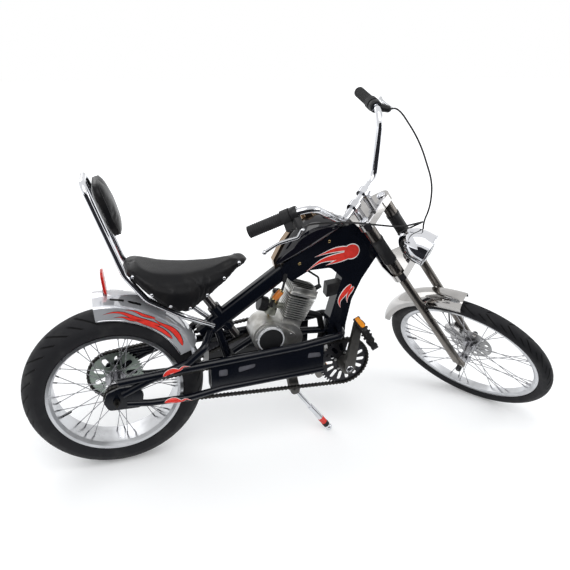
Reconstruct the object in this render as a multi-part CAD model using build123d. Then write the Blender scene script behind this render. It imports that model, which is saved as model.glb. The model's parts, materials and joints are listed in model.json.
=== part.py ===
from build123d import *
import math
import os

# Motorized chopper bicycle. Millimetres and degrees. It is drawn upright and straight ahead,
# X forward, Y left, Z up from the foot of the rear tyre, and parked on its stand at the end.

# Wheels
REAR_TYRE_RADIUS = 286
REAR_TYRE_CROWN = 58
REAR_TYRE_HEIGHT = 73
REAR_RIM_RADIUS = REAR_TYRE_RADIUS - REAR_TYRE_HEIGHT
REAR_RIM_WIDTH = 100
FRONT_TYRE_RADIUS = 306
FRONT_TYRE_CROWN = 27
FRONT_TYRE_HEIGHT = 44
FRONT_RIM_RADIUS = FRONT_TYRE_RADIUS - FRONT_TYRE_HEIGHT
FRONT_RIM_WIDTH = 32
RIM_FLANGE = 3
BEAD_DEPTH = 10
RIM_WALL = 7
SHOULDER_ANGLE = 62
AXLE_RADIUS = 5
SPOKE_RADIUS = 1.3
SPOKES_PER_SIDE = 18
SPOKE_LEAD = 54
SPOKE_GAP = 0.8

# Steering
CROWN_X = 940
CROWN_Z = 635
RAKE = 36.1
LEG_OFFSET = 88
LEG_SPREAD = 59
LEG_RADIUS = 15
SLEEVE_RADIUS = 20
AXLE_DROP = 495
AXLE_LEAD = 8
STEM_RADIUS = 15
HEAD_TUBE_RADIUS = 24
LOWER_CLAMP_HEIGHT = 28
UPPER_CLAMP_HEIGHT = 24
UPPER_CLAMP_ALONG = 232
LEG_TOP_ALONG = 247
BAR_RADIUS = 11
GRIP_RADIUS = 17
GRIP_LENGTH = 100

# Frame
SIDE_Y = 84
RAIL_RADIUS = 13
STAY_RADIUS = 11
PLATE_THICK = 4
DROPOUT_THICK = 8
NECK_WIDTH = 50
BACKBONE_WIDTH = 44
BACKBONE_HEIGHT = 58
BACKBONE_SLOPE = 35.6
STRUT_RADIUS = 15
POST_RADIUS = 14

# Drive
CHAIN_PITCH = 12.7
CHAIN_Y = 66
CHAIN_HALF_HEIGHT = 4.2
ROLLER_MARGIN = 42
CHAINRING_TEETH = 44
COG_TEETH = 18
ENGINE_COG_TEETH = 10
WHEEL_COG_TEETH = 44
COG_THICK = 2.4
BRACKET_X = 776
BRACKET_Z = 294
CRANK_LENGTH = 172
CRANK_LEAN = 7
CRANK_Y = 112
CRANK_THICK = 16
SPINDLE_RADIUS = 9
PEDAL_SPINDLE_RADIUS = 6
PEDAL_TILT = 62

# Engine
CASE_X = 568
CASE_Z = 402
CLUTCH_X = 508
CLUTCH_Z = 418
CYLINDER_LEAN = 20

# Parking
LEAN = 3.47
STEER_TURN = 59.1
STAND_X = 603
STAND_Y = -38
STAND_Z = 190
STAND_RAKE = 36.7
STAND_SPLAY = 7.9
FOOT_RADIUS = 13

# Fits
RUNNING_FIT = 0.05
SEAT_FIT = 0.2

REAR_AXLE = Vector(0, 0, REAR_TYRE_RADIUS)
BRACKET = Vector(BRACKET_X, 0, BRACKET_Z)
UP = Vector(-math.sin(math.radians(RAKE)), 0, math.cos(math.radians(RAKE)))
AHEAD = Vector(math.cos(math.radians(RAKE)), 0, math.sin(math.radians(RAKE)))


def on_fork(along, y, ahead):
    """Point of the straight fork: along the steering axis from the lower clamp, left, and ahead of it."""
    return Vector(CROWN_X, y, CROWN_Z) + UP * along + AHEAD * ahead


FRONT_AXLE = on_fork(-AXLE_DROP, 0, LEG_OFFSET + AXLE_LEAD)


def rod(start, end, radius):
    """Straight round bar."""
    start, end = Vector(start), Vector(end)
    bar = Cylinder(radius, (end - start).length, align=(Align.CENTER, Align.CENTER, Align.MIN))
    return Plane(origin=start, z_dir=end - start) * bar


def tube(points, radius, bend):
    """Round bar bent along the points, with one bend radius or one for each corner."""
    path = FilletPolyline(*points, radius=bend)
    return sweep(Plane(origin=path @ 0, z_dir=path % 0) * Circle(radius), path=path)


def cross_rod(x, z, radius, y_from, y_to):
    """Round bar across the bike."""
    return rod((x, y_from, z), (x, y_to, z), radius)


def side_plate(points, corner, y, thickness):
    """Flat plate cut to a side-view outline of (x, z) points, centred on y."""
    edge = FilletPolyline(*points, radius=corner, close=True)
    return Pos(0, y, 0) * extrude(Plane.XZ * make_face(edge), amount=thickness / 2, both=True)


def around(profile):
    """Solid of revolution about the Y axis from a (radius, y) outline."""
    return revolve(make_face(profile), axis=Axis.Y)


def left_of(shape):
    """The same piece on the left side."""
    return mirror(shape, about=Plane.XZ)


def pitch_radius(teeth):
    return CHAIN_PITCH / 2 / math.sin(math.pi / teeth)


# Wheels: tyre, rim and wire-spoked hub, each turned about the Y axis at the origin
def tyre(radius, crown, rim_radius, rim_width):
    """Tyre section: a round crown, sidewalls tangent to it, and a bead between the rim flanges."""
    turn = math.radians(SHOULDER_ANGLE)
    shoulder = radius - crown + crown * math.cos(turn)
    half = crown * math.sin(turn)
    bead = rim_width / 2 - RIM_FLANGE - SEAT_FIT
    lip = rim_radius + SEAT_FIT
    seat = rim_radius - BEAD_DEPTH + SEAT_FIT
    tread = ThreePointArc((shoulder, -half), (radius, 0), (shoulder, half))
    wall = TangentArc((shoulder, half), (lip, bead), tangent=(-math.sin(turn), math.cos(turn)))
    other = TangentArc((shoulder, -half), (lip, -bead), tangent=(-math.sin(turn), -math.cos(turn)))
    beads = Polyline((lip, bead), (seat, bead), (seat, -bead), (lip, -bead))
    return around([tread, wall, beads, other])


def rim(radius, width):
    half = width / 2
    seat = radius - BEAD_DEPTH
    floor = seat - RIM_WALL
    outer = [(radius, half), (radius, half - RIM_FLANGE), (seat, half - RIM_FLANGE)]
    inner = [(seat, half), (floor, half * 0.75)]
    left = [(r, -y) for r, y in reversed(outer)]
    under = [(r, -y) for r, y in inner]
    return around(Polyline(*outer, *left, *under, *reversed(inner), close=True))


def wire_hub(flange_y, flange_radius, half_length, rim_floor, rim_y, barrel_radius):
    """Hub barrel with two flanges, its crossed spokes and a bore for the axle."""
    hub = Rot(90, 0, 0) * Cylinder(barrel_radius, half_length * 2)
    for side in (1, -1):
        hub += Pos(0, side * flange_y, 0) * Rot(90, 0, 0) * Cylinder(flange_radius, 6)
    step = 360 / SPOKES_PER_SIDE
    for side in (1, -1):
        for index in range(SPOKES_PER_SIDE):
            way = 1 if index % 2 else -1
            at_hub = math.radians(step * index + (step / 2 if side < 0 else 0))
            at_rim = at_hub + math.radians(SPOKE_LEAD * way)
            near = flange_radius - 4
            far = rim_floor - SPOKE_GAP
            start = (near * math.cos(at_hub), side * (flange_y + 1.6 * way), near * math.sin(at_hub))
            end = (far * math.cos(at_rim), side * rim_y, far * math.sin(at_rim))
            hub += rod(start, end, SPOKE_RADIUS)
    return hub - Rot(90, 0, 0) * Cylinder(AXLE_RADIUS + RUNNING_FIT, half_length * 2 + 2)


def sprocket(teeth, thick, bore, windows, window_from, window_to, window_width):
    """Toothed plate about the Y axis, with a ring of long windows."""
    step = 2 * math.pi / teeth
    root = pitch_radius(teeth) - 4
    tip = pitch_radius(teeth) + 3
    points = []
    for tooth in range(teeth):
        for share, radius in ((-0.32, root), (-0.12, tip), (0.12, tip), (0.32, root)):
            angle = step * (tooth + share)
            points.append((radius * math.cos(angle), radius * math.sin(angle)))
    plate = make_face(Polyline(*points, close=True)) - Circle(bore)
    for index in range(windows):
        slot = SlotOverall(window_to - window_from, window_width)
        plate -= Rot(0, 0, 360 / windows * index) * Pos((window_from + window_to) / 2, 0) * slot
    return Rot(90, 0, 0) * extrude(plate, amount=thick / 2, both=True)


def belt(from_x, from_z, from_radius, to_x, to_z, to_radius):
    """Side-view outline of a loop round two wheels."""
    run = math.hypot(to_x - from_x, to_z - from_z)
    line = math.atan2(to_z - from_z, to_x - from_x)
    lift = math.acos((from_radius - to_radius) / run)

    def at(x, z, radius, angle):
        return (x + radius * math.cos(angle), z + radius * math.sin(angle))

    first_up = at(from_x, from_z, from_radius, line + lift)
    first_low = at(from_x, from_z, from_radius, line - lift)
    last_up = at(to_x, to_z, to_radius, line + lift)
    last_low = at(to_x, to_z, to_radius, line - lift)
    edges = [
        ThreePointArc(first_up, at(from_x, from_z, from_radius, line + math.pi), first_low),
        Line(first_low, last_low),
        ThreePointArc(last_low, at(to_x, to_z, to_radius, line), last_up),
        Line(last_up, first_up),
    ]
    return edges, (first_up, last_up), (first_low, last_low)


def chain(from_x, from_z, from_radius, to_x, to_z, to_radius, y):
    """Closed chain: two plates round the loop, with rollers across the straight runs."""
    high = CHAIN_HALF_HEIGHT
    outer, _, _ = belt(from_x, from_z, from_radius + high, to_x, to_z, to_radius + high)
    inner, _, _ = belt(from_x, from_z, from_radius - high, to_x, to_z, to_radius - high)
    _, upper, lower = belt(from_x, from_z, from_radius, to_x, to_z, to_radius)
    loop = Plane.XZ * (make_face(outer) - make_face(inner))
    plate = extrude(loop, amount=1.6)
    links = Pos(0, y - 2, 0) * plate + Pos(0, y + 3.6, 0) * plate
    for start, end in (upper, lower):
        run = math.hypot(end[0] - start[0], end[1] - start[1])
        count = int((run - 2 * ROLLER_MARGIN) / (CHAIN_PITCH * 2))
        for index in range(count + 1):
            share = (ROLLER_MARGIN + CHAIN_PITCH * 2 * index) / run
            x = start[0] + (end[0] - start[0]) * share
            z = start[1] + (end[1] - start[1]) * share
            links += cross_rod(x, z, 3.5, y - 3, y + 3)
    return links


rear_floor = REAR_RIM_RADIUS - BEAD_DEPTH - RIM_WALL
front_floor = FRONT_RIM_RADIUS - BEAD_DEPTH - RIM_WALL
REAR_HUB_HALF = SIDE_Y - DROPOUT_THICK / 2 - 1
FRONT_HUB_HALF = LEG_SPREAD - 6

rear_tyre = tyre(REAR_TYRE_RADIUS, REAR_TYRE_CROWN, REAR_RIM_RADIUS, REAR_RIM_WIDTH)
rear_rim = rim(REAR_RIM_RADIUS, REAR_RIM_WIDTH)
rear_hub = wire_hub(36, 34, REAR_HUB_HALF, rear_floor, 14, 17)
rear_cog = Pos(0, -CHAIN_Y, 0) * sprocket(COG_TEETH, COG_THICK, 17 + SEAT_FIT, 0, 0, 0, 0)
rear_cog += Pos(0, -CHAIN_Y + 8, 0) * Rot(90, 0, 0) * (Cylinder(27, 16 - COG_THICK) - Cylinder(17 + SEAT_FIT, 40))
rear_sprocket = Pos(0, CHAIN_Y, 0) * sprocket(WHEEL_COG_TEETH, COG_THICK, 17 + SEAT_FIT, 9, 34, 72, 18)

front_tyre = tyre(FRONT_TYRE_RADIUS, FRONT_TYRE_CROWN, FRONT_RIM_RADIUS, FRONT_RIM_WIDTH)
front_rim = rim(FRONT_RIM_RADIUS, FRONT_RIM_WIDTH)
front_hub = wire_hub(28, 26, FRONT_HUB_HALF, front_floor, 4, 14)
DISC_Y = 39
DISC_RADIUS = 80
front_disc = Rot(90, 0, 0) * extrude(Circle(DISC_RADIUS) - Circle(14 + SEAT_FIT), amount=1, both=True)
disc_hole = Rot(90, 0, 0) * Cylinder(7, 10)
for index in range(12):
    front_disc -= Rot(0, 30 * index, 0) * Pos(62, 0, 0) * disc_hole
front_disc = Pos(0, DISC_Y, 0) * front_disc

# Frame: neck box round the head tube, backbone, down tube, two side beams and their ties
head_low = LOWER_CLAMP_HEIGHT / 2 + 1
head_high = UPPER_CLAMP_ALONG - UPPER_CLAMP_HEIGHT / 2 - 1
head_tube = rod(on_fork(head_low, 0, 0), on_fork(head_high, 0, 0), HEAD_TUBE_RADIUS)
head_bore = rod(on_fork(head_low - 5, 0, 0), on_fork(head_high + 5, 0, 0), STEM_RADIUS + RUNNING_FIT)
neck_outline = [
    (547, 648), (560, 675), (742, 779), (812, 800), (860, 752), (905, 690),
    (880, 655), (838, 587), (766, 600), (722, 642), (647, 640), (585, 606),
]
neck_corner = [12, 20, 40, 4, 4, 20, 40, 10, 10, 25, 30, 10]
frame_neck = side_plate(neck_outline, neck_corner, 0, NECK_WIDTH) + head_tube - head_bore

slope = math.radians(BACKBONE_SLOPE)
backbone_run = Vector(math.cos(slope), 0, math.sin(slope))
POST_CROSS = Vector(355, 0, 492)
backbone_start = POST_CROSS - backbone_run * 86
backbone_length = 340
backbone_plane = Plane(origin=backbone_start, x_dir=(0, 1, 0), z_dir=backbone_run)
frame_backbone = extrude(
    backbone_plane * RectangleRounded(BACKBONE_WIDTH, BACKBONE_HEIGHT, 18), amount=backbone_length
)
POST_LEAN = 32.8
post_run = Vector(-math.sin(math.radians(POST_LEAN)), 0, math.cos(math.radians(POST_LEAN)))
frame_backbone += rod(POST_CROSS - post_run * 44, POST_CROSS + post_run * 52, POST_RADIUS + 7)
post_bore = rod(POST_CROSS - post_run * 90, POST_CROSS + post_run * 200, POST_RADIUS + RUNNING_FIT)
frame_backbone = frame_backbone - post_bore - frame_neck

down_outline = [
    (880, 655), (838, 587), (807, 514), (791, 417), (790, 300), (735, 300),
    (723, 358), (729, 446), (750, 533), (766, 600),
]
down_corner = [4, 60, 60, 60, 8, 8, 30, 60, 60, 4]
SHELL_RADIUS = 22
SHELL_HALF = 50
frame_down_tube = side_plate(down_outline, down_corner, 0, NECK_WIDTH)
frame_down_tube += cross_rod(BRACKET_X, BRACKET_Z, SHELL_RADIUS, -SHELL_HALF, SHELL_HALF)
WEB_X = 655
WEB_Z = 282
frame_down_tube += side_plate([(WEB_X, WEB_Z - 8), (BRACKET_X, WEB_Z - 8), (BRACKET_X, WEB_Z + 10),
                               (WEB_X, WEB_Z + 8)], 2, 0, 24)
frame_down_tube -= cross_rod(BRACKET_X, BRACKET_Z, SPINDLE_RADIUS + RUNNING_FIT, -SHELL_HALF - 5, SHELL_HALF + 5)
frame_down_tube -= frame_neck

upper_rail = tube(
    [(10, -SIDE_Y, 350), (265, -SIDE_Y, 370), (604, -SIDE_Y, 391), (757, -SIDE_Y, 412), (764, 0, 416)],
    RAIL_RADIUS, [200, 200, 22],
)
lower_rail = tube(
    [(30, -SIDE_Y, 270), (101, -SIDE_Y, 259), (229, -SIDE_Y, 255), (335, -SIDE_Y, 272), (690, -SIDE_Y, 287)],
    STAY_RADIUS, 120,
)
seat_stay = tube(
    [(318, -8, 462), (282, -SIDE_Y, 434), (226, -SIDE_Y, 386), (106, -SIDE_Y, 346), (20, -SIDE_Y, 306)],
    RAIL_RADIUS, [24, 60, 60],
)
beam_plate = side_plate([(300, 272), (690, 287), (690, 400), (604, 391), (300, 372)], 4, -SIDE_Y, PLATE_THICK)
for window in (
    [(326, 317), (356, 316), (356, 344), (326, 344)],
    [(392, 321), (447, 333), (453, 350), (392, 345)],
    [(632, 338), (684, 336), (676, 357), (634, 360)],
):
    beam_plate -= side_plate(window, 6, -SIDE_Y, PLATE_THICK * 3)
dropout = side_plate(
    [(-28, 318), (-40, 286), (-26, 254), (76, 250), (84, 300), (62, 334), (10, 332)],
    16, -SIDE_Y, DROPOUT_THICK,
)
frame_side = upper_rail + lower_rail + seat_stay + beam_plate + dropout
frame_side -= cross_rod(0, REAR_TYRE_RADIUS, AXLE_RADIUS + RUNNING_FIT, -SIDE_Y - 30, -SIDE_Y + 30)
frame_side = frame_side - frame_backbone - frame_down_tube
frame_side_right = frame_side
frame_side_left = left_of(frame_side)

STRUT_X = 380
STRUT_Z = 316
frame_ties = rod((STRUT_X - 2, 0, STRUT_Z), (336, 0, 470), STRUT_RADIUS)
for tie in ((STRUT_X, STRUT_Z, 13), (587, WEB_Z, 10), (WEB_X, WEB_Z, 10)):
    frame_ties += cross_rod(tie[0], tie[1], tie[2], -SIDE_Y, SIDE_Y)
frame_ties = frame_ties - frame_backbone - frame_side_right - frame_side_left - frame_down_tube - post_bore

# Tank: a teardrop body on the neck's sloping top edge, with a bright strip and cap along its spine
TANK_BASE = Vector(558, 0, 677)
TANK_SLOPE = 29.7
tank_run = Vector(math.cos(math.radians(TANK_SLOPE)), 0, math.sin(math.radians(TANK_SLOPE)))
tank_rise = Vector(-tank_run.Z, 0, tank_run.X)


def tank_section(along, width, height):
    half = width / 2
    low = height * 0.35
    plane = Plane(origin=TANK_BASE + tank_run * along + tank_rise * SEAT_FIT, x_dir=(0, 1, 0), z_dir=tank_run)
    edges = [
        Line((-half, low), (-half * 0.8, 0)),
        Line((-half * 0.8, 0), (half * 0.8, 0)),
        Line((half * 0.8, 0), (half, low)),
        ThreePointArc((half, low), (0, height), (-half, low)),
    ]
    return plane * make_face(edges)


tank_stations = [(-22, 44, 16), (30, 96, 52), (105, 132, 86), (165, 128, 84), (225, 84, 34), (248, 50, 10)]
tank = loft([tank_section(*station) for station in tank_stations]) - frame_neck - frame_backbone
strip_points = [(-34, -6), (-26, 22), (30, 60), (105, 94), (165, 92), (225, 42), (232, 20), (165, 60), (105, 60),
                (30, 30), (-18, -6)]
strip_edge = Polyline(*strip_points, close=True)
strip_plane = Plane(origin=TANK_BASE, x_dir=tank_run, z_dir=(0, -1, 0))
tank_strip = extrude(strip_plane * make_face(strip_edge), amount=14, both=True)
tank_strip += Plane(origin=TANK_BASE + tank_run * 150 + tank_rise * 70, z_dir=tank_rise) * Cylinder(
    24, 36, align=(Align.CENTER, Align.CENTER, Align.MIN)
)
tank_strip = tank_strip - tank - frame_neck - frame_backbone

# Engine: crankcase with its pear-shaped covers, finned barrel and head, carburettor and exhaust
CASE_HALF = 48


def pear(large, small, y_from, y_to):
    outline = make_hull(
        [*(Pos(CLUTCH_X, CLUTCH_Z) * Circle(large)).edges(), *(Pos(CASE_X, CASE_Z) * Circle(small)).edges()]
    )
    return Pos(0, y_to, 0) * extrude(Plane.XZ * outline, amount=y_to - y_from)


lean = math.radians(CYLINDER_LEAN)
bore_run = Vector(math.sin(lean), 0, math.cos(lean))
cylinder_plane = Plane(origin=(CASE_X, 0, CASE_Z), x_dir=(math.cos(lean), 0, -math.sin(lean)), z_dir=bore_run)


def up_bore(shape, height):
    """Piece set on the cylinder axis at a height above the crankshaft."""
    return cylinder_plane * Pos(0, 0, height) * shape


engine_case = pear(58, 56, -CASE_HALF, CASE_HALF)
engine_case += up_bore(Box(70, 70, 24, align=(Align.CENTER, Align.CENTER, Align.MIN)), 46)
engine_case += pear(50, 40, CASE_HALF, CASE_HALF + 8)
engine_case += cross_rod(CLUTCH_X, CLUTCH_Z, 10, CASE_HALF, CHAIN_Y + 8)
clutch_cover = pear(54, 34, -CASE_HALF - 11, -CASE_HALF - SEAT_FIT)
clutch_cover += cross_rod(CLUTCH_X, CLUTCH_Z, 43, -CASE_HALF - 17, -CASE_HALF - 10)
engine_cog = Pos(CLUTCH_X, CHAIN_Y, CLUTCH_Z) * sprocket(ENGINE_COG_TEETH, COG_THICK, 10 + SEAT_FIT, 0, 0, 0, 0)

BARREL_BASE = 70.2
FIN_STEP = 8
FIN_COUNT = 10
FIN_THICK = 2.8
engine_barrel = up_bore(Cylinder(34, 92, align=(Align.CENTER, Align.CENTER, Align.MIN)), BARREL_BASE)
for index in range(FIN_COUNT):
    fin = RectangleRounded(100 - 2.2 * (FIN_COUNT - 1 - index), 92, 14)
    engine_barrel += up_bore(extrude(fin, amount=FIN_THICK), BARREL_BASE + 8 + FIN_STEP * index)
HEAD_BASE = BARREL_BASE + 92
engine_head = up_bore(extrude(RectangleRounded(102, 94, 16), amount=9), HEAD_BASE)
for index in range(-3, 4):
    engine_head += up_bore(Pos(0, 13 * index, 8) * Box(92, 3, 24 - 1.6 * abs(index),
                                                      align=(Align.CENTER, Align.CENTER, Align.MIN)), HEAD_BASE)
engine_head += up_bore(Cylinder(13, 22, align=(Align.CENTER, Align.CENTER, Align.MIN)), HEAD_BASE)
PLUG_LEAN = 45
plug_seat = cylinder_plane * Pos(34, 0, HEAD_BASE + 6) * Rot(0, PLUG_LEAN, 0)
plug = plug_seat * Cylinder(8, 46, align=(Align.CENTER, Align.CENTER, Align.MIN))
plug_elbow = (plug_seat * Pos(0, 0, 40)).position
plug += tube([plug_elbow, plug_elbow + Vector(-4, 0, 34), (638, -12, 640)], 3.5, 16)
plug -= frame_neck
engine_head -= plug
engine_barrel -= plug

INTAKE_HEIGHT = 96
intake = cylinder_plane * rod((-33, 0, INTAKE_HEIGHT), (-66, 0, INTAKE_HEIGHT), 11)
carburettor = intake - engine_barrel
carburettor += cylinder_plane * rod((-76, 0, INTAKE_HEIGHT - 34), (-76, 0, INTAKE_HEIGHT + 44), 16)
carburettor += cylinder_plane * rod((-76, 0, INTAKE_HEIGHT - 34), (-76, 0, INTAKE_HEIGHT - 12), 21)
carburettor += cylinder_plane * rod((-76, 0, INTAKE_HEIGHT), (-98, 0, INTAKE_HEIGHT), 14)
carburettor = carburettor - engine_barrel - engine_case
air_filter = cylinder_plane * rod((-98.2, 0, INTAKE_HEIGHT - 6), (-126, 0, INTAKE_HEIGHT - 6), 24) - frame_backbone

# Fuel tap under the tank, hose and in-line filter down to the carburettor
FUEL_Y = -30
filter_top = Vector(552, FUEL_Y, 580)
filter_low = Vector(524, FUEL_Y, 550)
fuel_line = tube([(566, FUEL_Y + 10, 636), (560, FUEL_Y + 4, 604), filter_top, filter_low,
                  (511, FUEL_Y + 4, 530), (528, -8, 512)], 4, [26, 26, 40, 12])
fuel_line += rod((566, FUEL_Y + 10, 636), (561, FUEL_Y + 5, 608), 7)
fuel_line += rod(filter_top, filter_low, 9)
fuel_line = fuel_line - frame_neck - frame_backbone - carburettor - engine_barrel

exhaust_points = [cylinder_plane.from_local_coords(Vector(40, 0, 92)), (700, 0, 452), (712, 0, 392), (704, 0, 330)]
exhaust = tube([*exhaust_points, (675, 0, 318)], 11, [24, 30, 14])
exhaust += rod((688, 0, 318), (470, 0, 316), 20)
exhaust -= engine_barrel

ignition_box = side_plate([(712, 532), (752, 540), (764, 585), (714, 580)], 3, -8, 34) - frame_down_tube
ignition_box -= frame_neck

# Engine clamps: stubs from the case and head to the frame tubes
engine_mount = rod((CLUTCH_X - 46, 0, CLUTCH_Z - 20), (392, 0, 356), 12) - engine_case - frame_ties
engine_mount_front = rod((CASE_X + 40, 0, CASE_Z), (735, 0, 390), 12) - engine_case - frame_down_tube - exhaust

# Saddle, its post, and the sissy bar with a padded backrest
post_top = POST_CROSS + post_run * 225
seat_post = rod(POST_CROSS - post_run * 86, post_top, POST_RADIUS)


def seat_section(x, half, top, bottom):
    side = bottom + (top - bottom) * 0.5
    edges = [
        Line((-half, side), (-half, bottom)),
        Line((-half, bottom), (half, bottom)),
        Line((half, bottom), (half, side)),
        ThreePointArc((half, side), (0, top), (-half, side)),
    ]
    return Plane(origin=(x, 0, 0), x_dir=(0, 1, 0), z_dir=(1, 0, 0)) * make_face(edges)


SEAT_STATIONS = [
    (52, 24, 722, 712), (66, 48, 725, 704), (88, 84, 722, 690), (112, 104, 712, 652), (150, 112, 699, 616),
    (230, 104, 686, 573),
    (320, 76, 692, 618), (405, 44, 714, 688), (440, 26, 706, 692),
]
SEAT_WALL = 14
seat = loft([seat_section(*station) for station in SEAT_STATIONS])
seat -= loft([seat_section(x, half - SEAT_WALL, top - SEAT_WALL, bottom - 30)
              for x, half, top, bottom in SEAT_STATIONS[2:-1]])
seat_post = max((seat_post - seat).solids(), key=lambda body: body.volume)

SISSY_Y = 68
SISSY_RADIUS = 9
sissy_side = [(322, -24, 478), (226, -SISSY_Y, 548), (118, -SISSY_Y, 618), (58, -SISSY_Y, 706), (-30, -SISSY_Y, 984)]
sissy_other = [(x, -y, z) for x, y, z in reversed(sissy_side)]
sissy_bar = tube([*sissy_side, *sissy_other], SISSY_RADIUS, [40, 60, 90, 34, 34, 90, 60, 40])
sissy_bar = sissy_bar - frame_backbone - seat_post - seat
PAD_TILT = 18
backrest = Pos(27, 0, 905) * Rot(0, -PAD_TILT, 0) * Box(44, 170, 182)
backrest = fillet(backrest.edges(), 14) - sissy_bar

# Rear fender, a bright channel round the tyre, and the red reflector standing on it
REAR_FENDER_GAP = 25
REAR_FENDER_RADIUS = REAR_TYRE_RADIUS + REAR_FENDER_GAP
FENDER_BACK = 20
FENDER_LIFT = 28
REAR_FENDER_DEPTH = 64
REAR_FENDER_HALF = 61


def fender(radius, half, depth, thick, from_angle, to_angle):
    """Channel with a rounded crown, turned about the Y axis between two angles from forward."""
    shoulder = radius - half * 0.35

    outer = ThreePointArc((shoulder, -half), (radius, 0), (shoulder, half))
    inner = ThreePointArc((shoulder, thick - half), (radius - thick, 0), (shoulder, half - thick))
    rim_low = radius - depth
    edges = [
        outer,
        Polyline((shoulder, half), (rim_low, half), (rim_low, half - thick), (shoulder, half - thick)),
        inner,
        Polyline((shoulder, -half), (rim_low, -half), (rim_low, -half + thick), (shoulder, -half + thick)),
    ]
    channel = revolve(make_face(edges), axis=Axis.Y, revolution_arc=to_angle - from_angle)
    return channel.rotate(Axis.Y, -to_angle)


rear_fender = fender(REAR_FENDER_RADIUS, REAR_FENDER_HALF, REAR_FENDER_DEPTH, 2.4, 22, 94)
rear_fender = Pos(-FENDER_BACK, 0, REAR_TYRE_RADIUS + FENDER_LIFT) * rear_fender
fender_tab = cross_rod(249, 420, 7, -SIDE_Y, -REAR_FENDER_HALF + 1)
rear_fender += fender_tab + left_of(fender_tab)
rear_fender = rear_fender - frame_side_right - frame_side_left - frame_backbone - sissy_bar
REFLECTOR_FOOT = REAR_TYRE_RADIUS + FENDER_LIFT + REAR_FENDER_RADIUS
rear_reflector = Pos(-4, 0, REFLECTOR_FOOT + 40) * Box(12, 62, 82)
rear_reflector = fillet(rear_reflector.edges().filter_by(Axis.X), 14) - rear_fender

# Drive train: pedal chain on the right, engine chain on the left
chain_pedal = chain(0, REAR_TYRE_RADIUS, pitch_radius(COG_TEETH), BRACKET_X, BRACKET_Z,
                    pitch_radius(CHAINRING_TEETH), -CHAIN_Y)
chain_engine = chain(0, REAR_TYRE_RADIUS, pitch_radius(WHEEL_COG_TEETH), CLUTCH_X, CLUTCH_Z,
                     pitch_radius(ENGINE_COG_TEETH), CHAIN_Y)

chainring = Pos(BRACKET_X, -CHAIN_Y, BRACKET_Z) * sprocket(
    CHAINRING_TEETH, COG_THICK, SPINDLE_RADIUS + SEAT_FIT, 14, 42, 76, 13
)
crank_lean = math.radians(CRANK_LEAN)
crank_end = Vector(math.sin(crank_lean), 0, math.cos(crank_lean)) * CRANK_LENGTH


def crank_arm(side):
    """Tapered arm, up on the right (side -1) and down on the left."""
    end = crank_end * -side
    circles = [*Circle(19).edges(), *(Pos(end.X, end.Z) * Circle(14)).edges()]
    arm = extrude(Plane.XZ * make_hull(circles), amount=CRANK_THICK / 2, both=True)
    return Pos(BRACKET_X, side * CRANK_Y, BRACKET_Z) * arm


def pedal_centre(side):
    end = crank_end * -side
    return Vector(BRACKET_X + end.X, side * (CRANK_Y + CRANK_THICK / 2 + 54), BRACKET_Z + end.Z)


crank_arms = cross_rod(BRACKET_X, BRACKET_Z, SPINDLE_RADIUS, -CRANK_Y, CRANK_Y)
crank_arms += cross_rod(BRACKET_X, BRACKET_Z, 26, -CRANK_Y, -CHAIN_Y - COG_THICK / 2 - SEAT_FIT)
PEDAL_HALF = 46
for side in (-1, 1):
    hub = pedal_centre(side)
    crank_arms += crank_arm(side)
    crank_arms += cross_rod(hub.X, hub.Z, PEDAL_SPINDLE_RADIUS, side * CRANK_Y, hub.Y + side * PEDAL_HALF)


def pedal(side, tilt):
    body = Box(98, PEDAL_HALF * 2, 22)
    body = fillet(body.edges().filter_by(Axis.Z), 10)
    for x in (-30, 30):
        body -= Pos(x, 0, 0) * Box(26, 70, 40)
    body -= Rot(90, 0, 0) * Cylinder(PEDAL_SPINDLE_RADIUS + RUNNING_FIT, PEDAL_HALF * 2 + 2)
    return Pos(pedal_centre(side)) * Rot(0, tilt, 0) * body


pedal_right = pedal(-1, PEDAL_TILT)
pedal_left = pedal(1, 0)

# Rear axle with its nuts, fixed in the dropouts
AXLE_END = 114
NUT_REAR = 10
rear_axle = cross_rod(0, REAR_TYRE_RADIUS, AXLE_RADIUS, -AXLE_END, AXLE_END)
for side in (-1, 1):
    nut_at = side * (SIDE_Y + DROPOUT_THICK / 2)
    nut = extrude(Plane.XZ * RegularPolygon(11, 6), amount=-NUT_REAR * side)
    rear_axle += Pos(0, nut_at, REAR_TYRE_RADIUS) * nut

# Rear brake arms on the lower stays ahead of the tyre
rear_brake = Pos(306, -46, 306) * Box(16, 12, 74) + Pos(306, -60, 274) * Box(14, 40, 12)
rear_brake += left_of(rear_brake)
rear_brake = rear_brake - frame_side_right - frame_side_left

# Side stand: bracket under the frame, and the folding leg with its foot on the ground
rake = math.radians(STAND_RAKE)
splay = math.radians(STAND_SPLAY)
stand_run = Vector(math.sin(rake) * math.cos(splay), -math.sin(splay), -math.cos(rake) * math.cos(splay))
stand_axis = stand_run.cross(Vector(-1, 0, 0)).normalized()
stand_pivot = Vector(STAND_X, STAND_Y, STAND_Z)
EYE_RADIUS = 14
EYE_HALF = 9
CHEEK = 6
stand_plane = Plane(origin=stand_pivot, z_dir=stand_axis)
stand_bracket = stand_plane * Cylinder(AXLE_RADIUS, 2 * (EYE_HALF + CHEEK + 5))
rise = Vector(587, STAND_Y + 4, WEB_Z) - stand_pivot
for way in (-1, 1):
    cheek_at = stand_pivot + stand_axis * (way * (EYE_HALF + 0.5 + CHEEK / 2))
    cheek_plane = Plane(origin=cheek_at, x_dir=rise - stand_axis * rise.dot(stand_axis), z_dir=stand_axis)
    cheek = cheek_plane * extrude(Pos(34, 0) * RectangleRounded(102, 34, 15), amount=CHEEK / 2, both=True)
    stand_bracket += cheek
block_plane = Plane(origin=stand_pivot, x_dir=rise - stand_axis * rise.dot(stand_axis), z_dir=stand_axis)
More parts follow.
